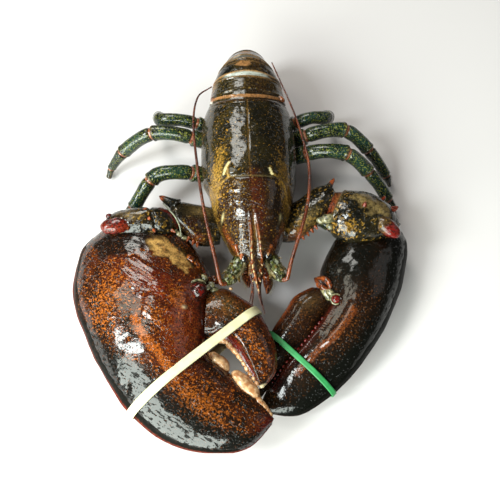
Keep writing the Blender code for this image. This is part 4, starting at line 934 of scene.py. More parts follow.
def crusher_claw():
    """Palm of the crusher with its fixed finger: swollen, with folds, a keel, a dark strip of painted shade
    along its outer edge, and a chain of bumps beside the wrist."""
    skin = Skin(rail_rings(CRUSHER_PALM, 270, 230, (1.5, 2.0), CRUSHER_KNOTS))
    top = skin.top()
    # The keel at the outer edge, a wall beside the hinge, wrinkles over the middle and a single wart.
    keel = skin.arc(178, 3.5) * step(skin.share, 0.05, 0.12)
    wall = skin.stroke([(-43.5, -60), (-43.3, -70), (-42.2, -82), (-41.3, -94), (-41, -106)], 5.0)
    folds = [[(-108, -31), (-98, -38), (-84, -47), (-70, -58)],
             [(-108, -42), (-98, -51), (-86, -57), (-72, -64)],
             [(-92, -64), (-84, -68), (-76, -73), (-66, -80)],
             [(-86, -78), (-80, -83), (-71, -89), (-63, -97)],
             [(-98, -32), (-88, -39), (-80, -44)], [(-80, -56), (-72, -60), (-64, -67)],
             [(-104, -52), (-95, -58), (-84, -63)]]
    wrinkles = sum(skin.stroke(line, 2.2) for line in folds) * (0.75 + 0.45 * cloud(skin.at, 6, 49))
    tubercle = skin.spot(-55.8, -73.8, 2.4, 2.0)
    finger = skin.stroke([(-56, -138), (-36, -151), (-12, -166)], 7)
    # Unevenness, coarse to fine, then those forms, and the swellings and hollows that catch the light.
    height = 0.55 * cloud(skin.at, 26, 50) + 0.32 * cloud(skin.at, 10, 51) + 0.14 * cloud(skin.at, 4.5, 52)
    height += 0.12 * domes(skin.at, 3.0, 53) - 0.18 * domes(skin.at, 2.4, 54, 0.27)
    height += 0.6 * keel + 1.2 * wall + 1.0 * wrinkles + 1.0 * tubercle + 2.4 * skin.spot(-64, -70, 28, 24)
    height += 2.0 * skin.spot(-66, -104, 15, 40) - 2.2 * skin.spot(-99, -106, 15, 40)
    height += 2.9 * skin.spot(-100, -107, 25, 23) - 1.5 * step(-skin.at[..., 0], 149, 155.5)
    height += 0.6 * finger - 0.7 * skin.stroke([(-50, -131), (-30, -141), (-8, -152)], 3.5)
    height += 0.5 * skin.ragged(skin.spot(-62, -62, 12, 9, -40), 4, 56) * cloud(skin.at, 3.2, 55)
    skin.lift(height)
    # Colours: a black outer band of changing width, orange blotches where the shell is marbled, a warm
    # middle, worn shell near the wrist with painted shade of a slit beside it, and red at the edge and
    # the wall.
    edge = smooth([0, .30, .41, .47, .535, .59, .65, .90, 1.0], [186, 172, 146, 130, 118, 98, 92, 98, 112],
                  skin.share.ravel()).reshape(skin.share.shape)
    outer = step(skin.turn, edge - 12, edge + 16) * (1 - step(skin.turn, 162, 170))
    skin.mark(speck=0.22 + 0.6 * skin.spot(-118, -68, 32, 14, 76) + 0.7 * skin.spot(-40, -150, 30, 12, -32))
    skin.mark(speck=0.8 * skin.spot(-76, -84, 18, 9, -40) + 0.8 * skin.spot(-60, -66, 14, 8, -60))
    marbled = skin.stroke([(-94, -84), (-89, -94), (-80, -105), (-72, -113), (-66, -123), (-60, -133)], 4.2)
    skin.mark(speck=1.0 * marbled, orange=0.6 * skin.ragged(marbled, 4, 58))
    skin.mark(dusk=0.5 * skin.spot(-14, -166, 26, 9, -30))
    skin.mark(orange=0.55 * skin.ragged(skin.spot(-60, -68, 9, 6, -60), 3, 61))
    skin.mark(dusk=0.97 * outer + 0.85 * skin.ragged(skin.spot(-108, -14, 38, 14, 14), 7, 62))
    skin.mark(orange=0.25 * skin.spot(-54, -92, 26, 15, 84),
              ruddy=np.maximum(skin.spot(-54, -88, 34, 17, 84), 0.8 * skin.spot(-84, -52, 36, 17, -28)))
    worn = skin.ragged(np.maximum(skin.spot(-76, -20, 17, 9.5, -32),
                                  skin.spot(-61, -31, 16, 7, -48)), 3.6, 57)
    skin.mark(tan=0.97 * worn * (0.75 + 0.6 * cloud(skin.at * [0.5, 1, 1], 3.0, 63)))
    # Painted shade of a narrow slit beside the worn patch: a dark line with no relief.
    painted_slit_shade = skin.stroke([(-66, -14), (-58, -22), (-52, -30), (-48, -36)], 1.6)
    skin.mark(dusk=0.8 * skin.ragged(painted_slit_shade, 2.5, 64))
    skin.mark(red=0.8 * step(skin.turn, 164, 172) * (1 - step(skin.turn, 184, 188))
              + 0.55 * wall * (0.8 + 0.9 * cloud(skin.at, 4, 65)) + 0.7 * skin.span(0.985, 0.03))
    skin.mark(pale=0.8 * tubercle**2, dusk=0.7 * wall * step(cloud(skin.at, 2.6, 66), 0.05, 0.4))
    skin.mark(orange=0.6 * (1 - top) * (1 - skin.arc(180, 20)) * (0.7 + 0.5 * cloud(skin.at, 9, 59)))
    # A chain of bumps beside the wrist.
    bumps = [((-51.5, -28, 52.5), 3.2), ((-46.5, -33, 50), 3.2), ((-41.5, -38, 46.5), 3.4),
             ((-37.5, -43, 42), 3.4), ((-31, -42, 36), 3.0)]
    parts = [skin]
    for i, (centre, size) in enumerate(bumps):
        bump = egg(centre, (size * 1.5, size, size * 0.75), -45, speck=0.55, ruddy=0.5)
        parts.append(bump.lift(0.7 * cloud(bump.at, 2.6, 60 + i)))
    piece("crusher_palm", parts, SHELL_CRUSHER, "shell_crusher", "crusher_propodus")
    # A strip of painted shade over the outer rim.
    piece("crusher_painted_shade_edge", [skin.strip(149, 192, 0.03, 0.97, 67)], PAINTED_SHADE_EDGE, "shell_crusher")


def crusher_hinge_ball():
    """Red ball on which the crusher's finger turns, with a clouded skin."""
    ball = egg((-43.4, -57.2, 55.0), (7.2, 7.4, 6.0), 75, along=30, around=40, red=1.0)
    ball.mark(dusk=0.85 * step(cloud(ball.at, 2.6, 72), -0.35, 0.15))
    ball.lift(0.4 * cloud(ball.at, 3, 71))
    piece("crusher_hinge_ball", [ball], SHELL_CRUSHER, "shell_crusher")


def crusher_teeth():
    """Two great molars on the fixed finger, and small teeth in front of them and behind."""
    molars = [egg((-26.0, -115.5, 38.5), (11.5, 6.0, 7.0), -40, along=36, around=40),
              egg((-4.0, -134.5, 38.5), (15.5, 7.2, 7.6), -46, along=44, around=44)]
    for i, molar in enumerate(molars):
        molar.lift(0.8 * cloud(molar.at, 6, 72 + i) + 0.4 * cloud(molar.at, 2.5, 74 + i))
    small = toothed_row([(7.5, -147.5, 40), (12.0, -152.5, 40), (16.5, -158.0, 40)], 5, 3.2, 2.2, 76)
    behind = toothed_row([(-37, -107, 36), (-33, -110, 37)], 2, 3.0, 3.2, 77)
    piece("crusher_teeth", [*molars, *small, *behind], TEETH, "shell_crusher")


def crusher_hinge_folds():
    """Lime collar round the hinge ball, an arc of a circle, and the lumps of the joint beside it."""
    angle = np.radians([38, 62, 90, 125, 160, 190, 214])
    line = np.stack([-43.4 + 8.3 * np.cos(angle), -57.2 + 8.4 * np.sin(angle),
                     56.4 - 1.1 * np.cos(angle)], axis=-1)
    collar = Skin(tube_rings(line, (0.3, 0.9, 1.1, 1.0, 0.9, 0.8, 0.3), 60, 14))
    lumps = [egg((-38.5, -45.5, 52), (3.6, 2.4, 2.6), -60), egg((-33, -49.5, 47), (3.4, 2.6, 2.6), -30),
             egg((-30.5, -53.5, 44), (3.6, 2.2, 2.4), 10), egg((-36, -52.5, 48), (2.8, 2.4, 2.2), -10)]
    for i, lump in enumerate(lumps):
        lump.lift(0.7 * cloud(lump.at, 2.4, 66 + i))
    piece("crusher_hinge_folds", [collar, *lumps], CONDYLE, "shell_crusher")


def crusher_finger():
    """Movable finger of the crusher: domed above, with a shoulder and a hollow red face down to its teeth."""
    skin = Skin(rail_rings(CRUSHER_THUMB, 170, 150, (1.7, 2.0)))
    far = step(skin.share, 0.10, 0.24) * (1 - step(skin.share, 0.9, 1.0))
    ridge, face = skin.arc(121, 9) * far, skin.arc(150, 12) * far
    height = 0.4 * cloud(skin.at, 16, 80) + 0.12 * cloud(skin.at, 6, 81)
    height += 0.06 * domes(skin.at, 2.6, 82) - 0.17 * domes(skin.at, 2.4, 83, 0.27)
    height += 1.2 * ridge - 1.9 * face + 0.5 * skin.arc(8, 6)
    skin.lift(height)
    inner = step(skin.turn, 129, 134) * (1 - step(skin.turn, 205, 225)) * step(skin.share, 0.1, 0.2)
    outer = skin.arc(12, 22) * step(skin.share, 0.10, 0.25)
    skin.mark(speck=0.15 + 0.4 * skin.spot(4, -100, 28, 9, -62), tan=0.12 * skin.spot(-20, -68, 15, 11, -30))
    skin.mark(red=0.97 * inner + 0.9 * outer, orange=0.3 * skin.arc(25, 14))
    # Painted shade: darker on the underside, outside the red face.
    skin.mark(dusk=0.5 * skin.spot(-28, -84, 14, 10, 0) + 0.5 * (1 - skin.top()) * (1 - inner))
    skin.mark(dusk=0.4 * inner * step(cloud(skin.at, 2.4, 86), 0.0, 0.4))
    skin.mark(pale=0.9 * step(skin.share, 0.955, 0.985))
    piece("crusher_finger", [skin], SHELL_CRUSHER, "shell_crusher", "crusher_dactyl")
    rows, inner_edge = skin.at.shape[0], 72
    line = [skin.at[int(share * (rows - 1)), inner_edge] + [0.3, 0.2, 0.2]
            for share in (0.20, 0.32, 0.44, 0.56, 0.68, 0.80, 0.93)]
    knob = egg((-16.5, -52.0, 42), (1.9, 1.4, 1.4), -20, along=14, around=16)
    piece("crusher_finger_teeth", [*toothed_row(line, 15, 3.0, 2.0, 85), knob], TEETH, "shell_crusher")


def cutter_claw():
    """Palm of the cutter with its fixed finger: slender, with a crest along its inner side, a row of small
    red beads, a dark strip of painted shade along its outer edge, and the ball and lips of the finger's
    hinge."""
    skin = Skin(rail_rings(CUTTER_PALM, 250, 210, (1.9, 1.7), CUTTER_KNOTS))
    top = skin.top()
    # The crest and the trough beside it run from the hinge to the tip.
    crest = skin.stroke([(75, -63), (68.5, -72), (60, -84), (50, -97), (40, -108), (30, -120),
                         (21, -134)], 2.6)
    trough = skin.stroke([(84, -62), (76, -76), (67, -89), (56, -101), (43, -113)], 3.4)
    outer = step(skin.turn, 0, 1) * (1 - step(skin.turn, 45, 75))
    height = 0.5 * cloud(skin.at, 22, 90) + 0.2 * cloud(skin.at, 9, 91) + 0.07 * cloud(skin.at, 4.5, 92)
    height += 0.06 * domes(skin.at, 2.9, 93) - 0.14 * domes(skin.at, 2.4, 94, 0.27)
    height += 1.9 * crest - 0.6 * trough + 0.6 * skin.arc(0, 3.5)
    height += 0.9 * skin.stroke([(98, -42), (94, -58), (84, -78), (68, -98)], 5)
    height -= 0.9 * skin.spot(80, -36, 9, 5, 60) + 0.8 * skin.spot(96, -22, 10, 5, 20)
    skin.lift(height)
    streak = skin.stroke([(87, -72), (83, -79), (75, -89), (67, -97), (58, -104), (51, -111),
                          (41, -121)], 3.6)
    skin.mark(speck=0.02 + 0.3 * streak + 0.35 * skin.spot(82, -84, 42, 12, 56))
    skin.mark(orange=0.4 * skin.ragged(streak, 5, 99), ruddy=0.8 * skin.spot(84, -68, 38, 15, 56))
    skin.mark(dusk=0.9 * outer + 0.9 * skin.spot(72, -126, 36, 14, 38) + 0.9 * skin.spot(92, -32, 34, 24, 60))
    skin.mark(red=0.5 * skin.arc(0, 4) + 0.3 * crest, orange=0.5 * (1 - top) * (1 - skin.arc(0, 20)))
    skin.mark(pale=0.6 * step(skin.share, 0.985, 0.998))
    piece("cutter_palm", [skin], SHELL_CUTTER, "shell_cutter", "cutter_propodus")
    # A strip of painted shade over the outer rim.
    piece("cutter_painted_shade_edge", [skin.strip(-12, 33, 0.06, 0.97, 97)], PAINTED_SHADE_EDGE, "shell_cutter")
    # Beads along the inner edge, the hinge ball, and the two lips that hold it.
    line = [skin.foot(share, 155)[0] for share in (0.45, 0.53, 0.61, 0.69, 0.77, 0.85)]
    beads = toothed_row(line, 16, 1.6, 1.0, 95, red=1.0)
    ball = egg((73.9, -61.8, 42.2), (4.4, 4.0, 4.2), 0, along=24, around=30, red=1.0)
    lips = [Skin(tube_rings(path, (0.9, 2.3, 2.6, 1.0), 44, 22, 1.3), orange=0.75) for path in (
        [(57.6, -39.6, 33), (60.0, -45.6, 35.5), (64.4, -50.0, 37.5), (70.4, -52.8, 38)],
        [(57.6, -39.6, 33), (64.0, -41.4, 38), (68.6, -46.0, 40), (70.4, -52.8, 38)])]
    for i, lip in enumerate(lips):
        lip.lift(0.5 * cloud(lip.at, 3, 96 + i)).mark(dusk=0.5 * step(cloud(lip.at, 3, 89), 0.0, 0.4))
    piece("cutter_beads", [*beads, ball, *lips], SHELL_ARM, "shell_cutter")


def cutter_hinge_folds():
    """Lime folds of the cutter's hinge, and a ring round its ball."""
    folds = [egg((66.0, -54.0, 35), (7.5, 3.6, 5.0), -62, along=24, around=28),
             egg((70.0, -54.5, 38.5), (4.2, 3.0, 3.5), -40)]
    folds[0].lift(0.7 * cloud(folds[0].at, 3, 98))
    piece("cutter_hinge_folds", [*folds, hoop((73.9, -61.8, 43.2), 4.5, 0.9, 1.2)], CONDYLE, "shell_cutter")


def cutter_finger():
    """Movable finger of the cutter, slim and curved, with a glossy red outer edge."""
    skin = Skin(rail_rings(CUTTER_THUMB, 160, 140, (2.0, 1.5)))
    height = 0.35 * cloud(skin.at, 15, 100) + 0.12 * cloud(skin.at, 6, 101)
    height += 0.06 * domes(skin.at, 2.6, 102) - 0.16 * domes(skin.at, 2.4, 103, 0.27)
    height += 0.9 * skin.arc(150, 9) - 0.6 * skin.arc(118, 9) + 0.5 * skin.arc(20, 7)
    skin.lift(height * step(skin.share, 0.0, 0.1))
    near = 1 - step(skin.share, 0.45, 0.75)
    skin.mark(speck=0.2, ruddy=0.5 * skin.top(), tan=0.3 * skin.spot(52, -62, 10, 8, 30))
    skin.mark(red=0.85 * skin.arc(170, 24), orange=0.8 * skin.arc(154, 12) * near)
    # Painted shade: darker on the underside.
    skin.mark(dusk=0.5 * (1 - skin.top()) + 0.6 * (1 - near), pale=0.6 * step(skin.share, 0.985, 0.998))
    piece("cutter_finger", [skin], SHELL_CUTTER, "shell_cutter", "cutter_dactyl")
    line = [skin.foot(share, 352)[0] for share in (0.30, 0.45, 0.60, 0.75, 0.90)]
    beads = toothed_row(line, 16, 1.4, 0.9, 106, red=0.8, pale=0.2)
    piece("cutter_finger_beads", beads, SHELL_CUTTER, "shell_cutter")


# ---------------------------------------------------------------- arms

def crusher_wrist():
    """Wrist of the crusher: a rough block with a crease and a rim at its near end, spines, a great red
    spine at its outer side and three knobs."""
    wrist = Skin(rail_rings(CRUSHER_WRIST, 110, 120))
    crease = wrist.stroke([(-89, 20), (-86, 12), (-83, 2), (-80.5, -9)], 1.7)
    rim = wrist.stroke([(-79, 17), (-74, 13), (-69, 9.5), (-65, 5), (-63, 0)], 1.8)
    wrist.lift(0.6 * cloud(wrist.at, 11, 110) + 0.35 * cloud(wrist.at, 5, 111)
               + 0.22 * domes(wrist.at, 3, 112)
               + 1.1 * wrist.stroke([(-116, 4), (-104, 9), (-90, 12)], 4) - 1.2 * crease + 0.8 * rim
               - 0.9 * wrist.stroke([(-108, -6), (-96, -3), (-86, -6)], 3.5))
    wrist.mark(speck=0.12 + 0.4 * wrist.spot(-76, 4, 7, 7) + 0.4 * wrist.spot(-90, 8, 8, 6),
               tan=0.3 * wrist.ragged(wrist.spot(-103, 8, 16, 6, -8), 4, 114))
    # Painted shade: darker in the crease, in the hollow along the front edge, and on the underside.
    wrist.mark(red=0.8 * rim,
               dusk=0.7 * crease + 0.7 * wrist.spot(-92, -6, 22, 6, 0) + 0.4 * (1 - wrist.top()))
    wrist.mark(ruddy=0.7 * wrist.spot(-106, 6, 12, 8))
    spines = [spine(wrist, share, turn, length, 1.5, lean, orange=0.9) for share, turn, length, lean in
              ((0.13, 150, 4.5, (0.3, -0.3, 0.2)), (0.32, 138, 4, (0.3, -0.4, 0.3)),
               (0.56, 125, 5, (0.2, -0.5, 0.3)), (0.36, 95, 3, (0.4, 0, 0)))]
    big = egg((-116.4, -0.6, 60.6), (13.5, 7.2, 6.6), 9, along=36, around=40, red=1.0)
    big.mark(orange=0.25 * (1 - big.spot(-116.4, 0.5, 8, 4, 9)) * big.top(),
             dusk=0.7 * big.spot(-115, 1, 9, 4, 9) * step(cloud(big.at, 1.8, 119), -0.2, 0.3))
    big.lift(0.4 * cloud(big.at, 5, 113) + 0.25 * cloud(big.at * [0.4, 1, 1], 2.2, 118))
    knobs = [egg((-96.3, 11.0, 63.8), (2.6, 2.1, 2.2), 20, orange=0.95),
             egg((-91.4, 12.6, 63.9), (3.0, 2.0, 2.4), 40, orange=0.95),
             egg((-123.5, 9.8, 57), (3.2, 2.6, 2.8), 0, red=0.9)]
    piece("crusher_wrist", [wrist, *spines, big, *knobs], SHELL_ARM, "shell_arm", "crusher_carpus")


def crusher_arm():
    """Arm of the crusher: a smooth block with a raised far rim, a lip along it, and a row of spines behind
    one large horn."""
    arm = Skin(rail_rings(CRUSHER_ARM, 90, 110))
    rim = arm.span(0.93, 0.04) * arm.top()
    arm.lift(0.4 * cloud(arm.at, 10, 115) + 0.22 * domes(arm.at, 2.8, 116) + 0.5 * rim
             - 0.5 * arm.spot(-54, 8, 8, 8))
    arm.mark(orange=0.6 * arm.stroke([(-61, -9), (-63, -2), (-67, 5), (-73, 13)], 1.4))
    arm.mark(speck=0.1 + 0.3 * arm.spot(-42, -2, 10, 6), tan=0.8 * arm.spot(-44, 18, 18, 6, 10))
    # Painted shade: darker on the underside.
    arm.mark(ruddy=0.9 * arm.spot(-53, 5, 11, 9),
             dusk=0.8 * arm.spot(-60, 14, 12, 12) + 0.4 * (1 - arm.top()))
    arm.mark(orange=0.4 * arm.spot(-46, -7, 6, 3))
    horn = thorn((-68, 23.0, 54), (-0.88, 0.42, 0.05), 15.0, 4.6, (0.0, 0.1, 0))
    horn.mark(orange=0.95 * step(horn.share, 0.66, 0.82), dusk=0.7 * (1 - step(horn.share, 0.55, 0.8)))
    lip = Skin(tube_rings([(-60, -8, 54), (-61, -1, 59), (-65, 7, 62), (-71.5, 15, 61), (-77, 22.5, 57)],
                          (0.5, 0.6, 0.7, 0.6, 0.4), 60, 16), pale=0.4)
    row = [spine(arm, share, 170, 4.5, 1.6, (0, -0.6, 0), orange=0.9) for share in (0.40, 0.50, 0.60)]
    piece("crusher_arm", [arm, horn, lip, *row], SHELL_ARM, "shell_arm", "crusher_merus")


def cutter_wrist():
    """Wrist of the cutter: a rough block with a smooth face at its near end and a step up from it, three
    ridges, spines, and a great spine that is red towards its tip."""
    wrist = Skin(rail_rings(CUTTER_WRIST, 120, 130))
    facet = (1 - step(wrist.share, 0.11, 0.15)) * wrist.top()
    step_up = wrist.span(0.155, 0.02) * wrist.top()
    wrist.lift(0.6 * cloud(wrist.at, 11, 120) + 0.45 * cloud(wrist.at, 5, 121) * (1 - facet)
               + 0.24 * domes(wrist.at, 3, 122) * (1 - facet) - 1.0 * facet + 0.7 * step_up
               - 0.9 * wrist.stroke([(88, -4), (100, 0), (112, -4)], 3.5)
               + 0.9 * wrist.stroke([(86, 10), (98, 12), (110, 6)], 3.5)
               + 0.8 * wrist.stroke([(92, 26), (106, 20), (118, 12)], 3.5))
    wrist.mark(speck=0.1 + 0.95 * wrist.spot(84, -2, 11, 7, -20) + 0.4 * wrist.span(0.20, 0.03))
    wrist.mark(tan=0.85 * wrist.ragged(wrist.spot(108, 17, 22, 10, -30), 4, 124), orange=0.35 * facet)
    wrist.mark(tan=0.5 * wrist.span(0.13, 0.04) * wrist.top(), red=0.6 * facet * wrist.spot(70, 17, 9, 6, 60))
    # Painted shade: darker on the underside.
    wrist.mark(dusk=0.7 * wrist.spot(92, 9, 12, 7, 10) + 0.4 * (1 - wrist.top()))
    spines = [spine(wrist, share, turn, length, width, lean, red=0.9, orange=0.3) for
              share, turn, length, width, lean in
              ((0.13, 150, 4, 1.6, (-0.3, -0.3, 0.2)), (0.47, 81, 4.0, 1.9, (0.1, 0.5, 0)),
               (0.62, 26, 4.0, 2.0, (0.3, 0.5, 0)), (0.78, 36, 5.5, 2.8, (0.8, 0.4, 0)))]
    big = egg((119.5, -0.8, 58.0), (13.5, 7.4, 6.8), -42, along=40, around=40, ruddy=0.8, speck=0.1, tan=0.2)
    big.lift(0.45 * cloud(big.at, 5, 123) + 0.2 * cloud(big.at, 2.2, 129))
    big.mark(red=step(big.share + 0.06 * cloud(big.at, 4, 128), 0.46, 0.60), orange=0.3 * big.arc(300, 30))
    piece("cutter_wrist", [wrist, *spines, big], SHELL_ARM, "shell_arm", "cutter_carpus")


def cutter_arm():
    """Arm of the cutter: a smooth block with a raised far rim, and a row of spines behind one horn."""
    arm = Skin(rail_rings(CUTTER_ARM, 90, 110))
    rim = arm.span(0.93, 0.04) * arm.top()
    arm.lift(0.4 * cloud(arm.at, 10, 125) + 0.22 * domes(arm.at, 2.8, 126) + 0.8 * rim)
    arm.mark(speck=0.3 + 0.6 * arm.spot(46, 4, 14, 7, 30), tan=0.6 * arm.spot(50, 8, 16, 6, 40))
    # Painted shade: darker on the underside.
    arm.mark(dusk=0.4 * (1 - arm.top()) + 0.6 * arm.spot(58, 26, 16, 12, 60))
    arm.mark(orange=0.6 * arm.spot(41, -3, 8, 4, 20), pale=0.35 * arm.span(0.985, 0.02) * arm.top())
    horn = thorn((71.5, 41, 53.5), (0.6, 0.8, 0.25), 8.5, 2.8, (0.0, 0.2, 0))
    horn.mark(orange=0.95 * step(horn.share, 0.3, 0.55))
    row = [spine(arm, share, 172, 4.0, 1.5, (0, -0.6, 0), orange=0.9) for share in (0.36, 0.44, 0.52, 0.60)]
    piece("cutter_arm", [arm, horn, *row], SHELL_ARM, "shell_arm", "cutter_merus")


def arm_knuckles():
    """Lime knobs of the joints between arm and wrist, three on each side."""
    knuckles = [egg((-63.0, -3.0, 47), (4.6, 3.0, 3.2), -30), egg((-58.5, -6.5, 45), (3.6, 2.8, 3.0), 20),
                egg((-66.5, 0.5, 49.5), (2.6, 2.2, 2.2), 0),
                egg((68.0, 7.6, 56.8), (6.4, 4.4, 3.8), 18), egg((62.0, 6.5, 55.0), (4.0, 3.0, 2.8), -20),
                egg((70.0, 2.0, 53), (3.4, 2.6, 2.8), -50)]
    for i, knuckle in enumerate(knuckles):
        knuckle.lift(0.55 * cloud(knuckle.at, 2.6, 130 + i))
    piece("arm_hinge_knuckles", knuckles, CONDYLE, "shell_arm")


# ---------------------------------------------------------------- walking legs

LEG_STEPS = 500     # points along a leg's path
FIFTH_KNEE = 365    # which of them is at a fifth leg's outer bend
LEG_GAP = 0.9       # how far each tube starts past its joint


def leg_tube(line, thick, number):
    """Hard tube of a leg, an ellipse carried along a line. Tubes are numbered from 0 at the body to 4 at the
    tip; the outer two are duskier, and the last reddens towards its end."""
    last = number == 4
    tube = Skin(sweep(line, thick, 30, 1.15))
    tube.lift(0.12 * cloud(tube.at, 5, 140 + number) + 0.10 * domes(tube.at, 1.9, 141)
              + 0.25 * tube.span(0.965, 0.03))
    ends = np.maximum(tube.span(1.0, 0.05), 0.6 * tube.span(0.0, 0.04))
    # Painted shade: every tube is darker on its underside.
    tube.mark(speck=0.38 - 0.15 * last, orange=0.5 * ends * (number > 0),
              dusk=0.35 * last + 0.15 * (number == 3) + 0.3 * (1 - tube.top()))
    return tube.mark(ruddy=0.75 * last * tube.share)


def leg_pleats(path, radius, joint):
    """Joint skin: a short tube along the path whose radius swells and shrinks in folds."""
    i = int(joint * (LEG_STEPS - 1))
    ahead = unit(path[min(i + 6, LEG_STEPS - 1)] - path[i - 6])
    folds = np.array([.2, .6, .8, .86, .82, .86, .82, .86, .82, .86, .82, .74, .5, .2])
    line = path[i] + ahead * np.linspace(-1.6, 2.6, len(folds))[:, None]
    return Skin(sweep(line, radius[i] * folds, 24, 1.15))


def walking_legs():
    """Eight legs, each of five hard tubes that flare to their joints, joint skin between, and bristles on
    the outer two. The last tube of the second and third pairs is a pincer of two thin ones."""
    for word, (points, radii, joints) in LEGS.items():
        points, radii = np.array(points, float), np.array(radii, float)
        knots, at = arc_lengths(points), np.linspace(0, 1, LEG_STEPS)
        path, radius = smooth(knots, points, at), smooth(knots, radii, at)
        reach = np.linalg.norm(np.diff(points, axis=0), axis=1).sum()
        gap = LEG_GAP / reach
        cuts, tubes, hairs = (0.0, *joints, 1.0), [], []
        for number, (start, end) in enumerate(zip(cuts[:-1], cuts[1:])):
            share = np.linspace(0, 1, max(20, int((end - start) * reach * 1.3)))
            here = start + gap * (number > 0) + (end - start - gap * (number > 0)) * share
            centre = np.stack([np.interp(here, at, path[:, i]) for i in range(3)], axis=-1)
            wide = np.interp(here, at, radius)
            last = number == 4
            flare = smooth([0, 0.03, 0.14, 0.45, 0.88, 0.97, 1.0],
                           [0.55, 0.86, 0.97, 0.95, 1.04, 1.06, 1.0 if last else 0.72], share)
            if last and word.endswith(("second", "third")):
                side = unit(np.cross(np.gradient(centre, axis=0), UP))
                spread = smooth([0, 0.5, 1], [0.30, 0.42, 0.15], share)[:, None] * wide[:1, None] * side
                tubes += [leg_tube(line, wide * 0.55, number) for line in (centre + spread, centre - spread)]
            else:
                tubes.append(leg_tube(centre, wide * flare, number))
            if number >= 3:
                rows = np.linspace(2, len(share) - 3, 14).astype(int)
                for turn in (4, 11, 19, 26):
                    feet = tubes[-1].at[rows, turn]
                    ways = tubes[-1].outward()[rows, turn] * 0.8 + unit(centre[-1] - centre[0])
                    hairs.append(Hairs(feet, ways, 2.6, 0.10))
        piece(f"leg_{word}_shell", tubes, SHELL_LEG, "shell_leg", "leg_" + word)
        skins = [leg_pleats(path, radius, joint) for joint in joints]
        if word.endswith("fifth"):
            knee = path[FIFTH_KNEE]
            skins.append(egg(knee + [0, 0, 2.0], (1.6, 4.6, 4.4), 170 if knee[0] < 0 else 10, 40))
        piece(f"leg_{word}_joint_skin", skins, MEMBRANE, "shell_leg")
        piece(f"leg_{word}_bristles", hairs, BRISTLE, "shell_leg")


# ---------------------------------------------------------------- head

# Side is -1 on the animal's right and 1 on its left, and word names it.

def eye(side, word):
    """Eyeball on its short stem, with a lid over it."""
    stem = Skin(tube_rings([(5 + 6 * side, -24, 60), (5 + 10 * side, -30, 61)], (2.2, 2.6), 14, 24),
                speck=0.5, orange=0.4)
    ball = egg((5 + 10 * side, -30.1 + 1.4 * side, 61.5), (3.4, 3.4, 3.4), 0, along=30, around=36)
    lid = egg(np.array([3.6 + 10.6 * side, -28.6 + 1.4 * side, 63.6]), (3.2, 1.7, 1.5), 100 + 20 * side,
              orange=0.9, pale=0.25 + 0.2 * side)
    piece("eye_stem_" + word, [stem, lid], SHELL_FEELER, "feeler_shell")
    piece("eye_ball_" + word, [ball], EYE, "eye_black", "eye_" + word)


def feeler_stalk(side, word):
    """Stalk of a long feeler: a ringed tube with spines, a leaf-shaped scale on it, and bristles on both."""
    path = ([(-6, -24, 50), (-11, -34, 50), (-16, -44, 51), (-21, -50, 53)] if side < 0 else
            [(16, -22, 50), (20, -32, 50), (24, -41, 51), (28.5, -46.5, 53)])
    stalk = Skin(tube_rings(path, (6.6, 7, 6.3, 3.6), 90, 60))
    rings_at = np.maximum(stalk.span(0.42, 0.012), stalk.span(0.72, 0.012))
    stalk.lift(0.35 * cloud(stalk.at, 5, 150) + 0.25 * domes(stalk.at, 2.2, 151) - 0.9 * rings_at)
    stalk.mark(speck=0.8, pale=0.35 * step(cloud(stalk.at, 2.0, 152), 0.35, 0.6) + 0.15 * rings_at)
    stalk.mark(dusk=0.95 * step(cloud(stalk.at, 3.0, 153), -0.05, 0.2), tan=0.3 * stalk.top())
    stalk.mark(orange=0.3 * step(cloud(stalk.at, 4.0, 154), 0.2, 0.5))
    spikes = [spine(stalk, share, turn, length, 1.2, (0.2 * side, -0.9, 0.2), orange=0.4, speck=1.0)
              for share, turn, length in ((0.70, 10, 4.5), (0.70, 170, 4.5), (0.45, 60, 3.5),
                                          (0.62, 90, 3.5), (0.80, 120, 3), (0.30, 150, 3.5))]
    start = np.array(path[0], float) + [2.5 * side, -3, 6.0]
    blade = Skin(rail_rings([
        (start + [-2 * side, 0, 0], start + [2.5 * side, 0, 0], 1.2, 1.2),
        (start + [-2.2 * side, -8, 0.8], start + [5.5 * side, -6, 0.6], 1.4, 1.4),
        (start + [0.5 * side, -15, 0.6], start + [7.5 * side, -12, 0], 1.1, 1.1),
        (start + [5.5 * side, -19.5, 0], start + [7.0 * side, -19.5, 0], 0.5, 0.5)], 40, 36))
    blade.lift(0.3 * cloud(blade.at, 3, 155)).mark(speck=0.8, tan=0.5)
    blade.mark(pale=0.4 * step(cloud(blade.at, 1.8, 156), 0.3, 0.5),
               dusk=0.9 * step(cloud(blade.at, 2.6, 157), 0.0, 0.25))
    piece("feeler_stalk_" + word, [stalk, blade, *spikes], SHELL_LEG, "feeler_shell", "feeler_base_" + word)
    row = blade.at[6:38, 18].repeat(2, axis=0)
    ways = np.stack([np.full(len(row), -0.8 * side), -0.6 + 0.2 * np.sin(np.arange(len(row)) * 1.7),
                     0.15 * np.cos(np.arange(len(row)) * 2.3)], axis=-1)
    tuft = Hairs(row, ways, 5.0, 0.12)
    crown = stalk.at[30:84:4, 6:26:3].reshape(-1, 3)
    more = Hairs(crown, stalk.outward()[30:84:4, 6:26:3].reshape(-1, 3) + [0.3 * side, -0.8, 0.1], 3.6, 0.11)
    piece("feeler_bristles_" + word, [tuft, more], BRISTLE, "feeler_shell")


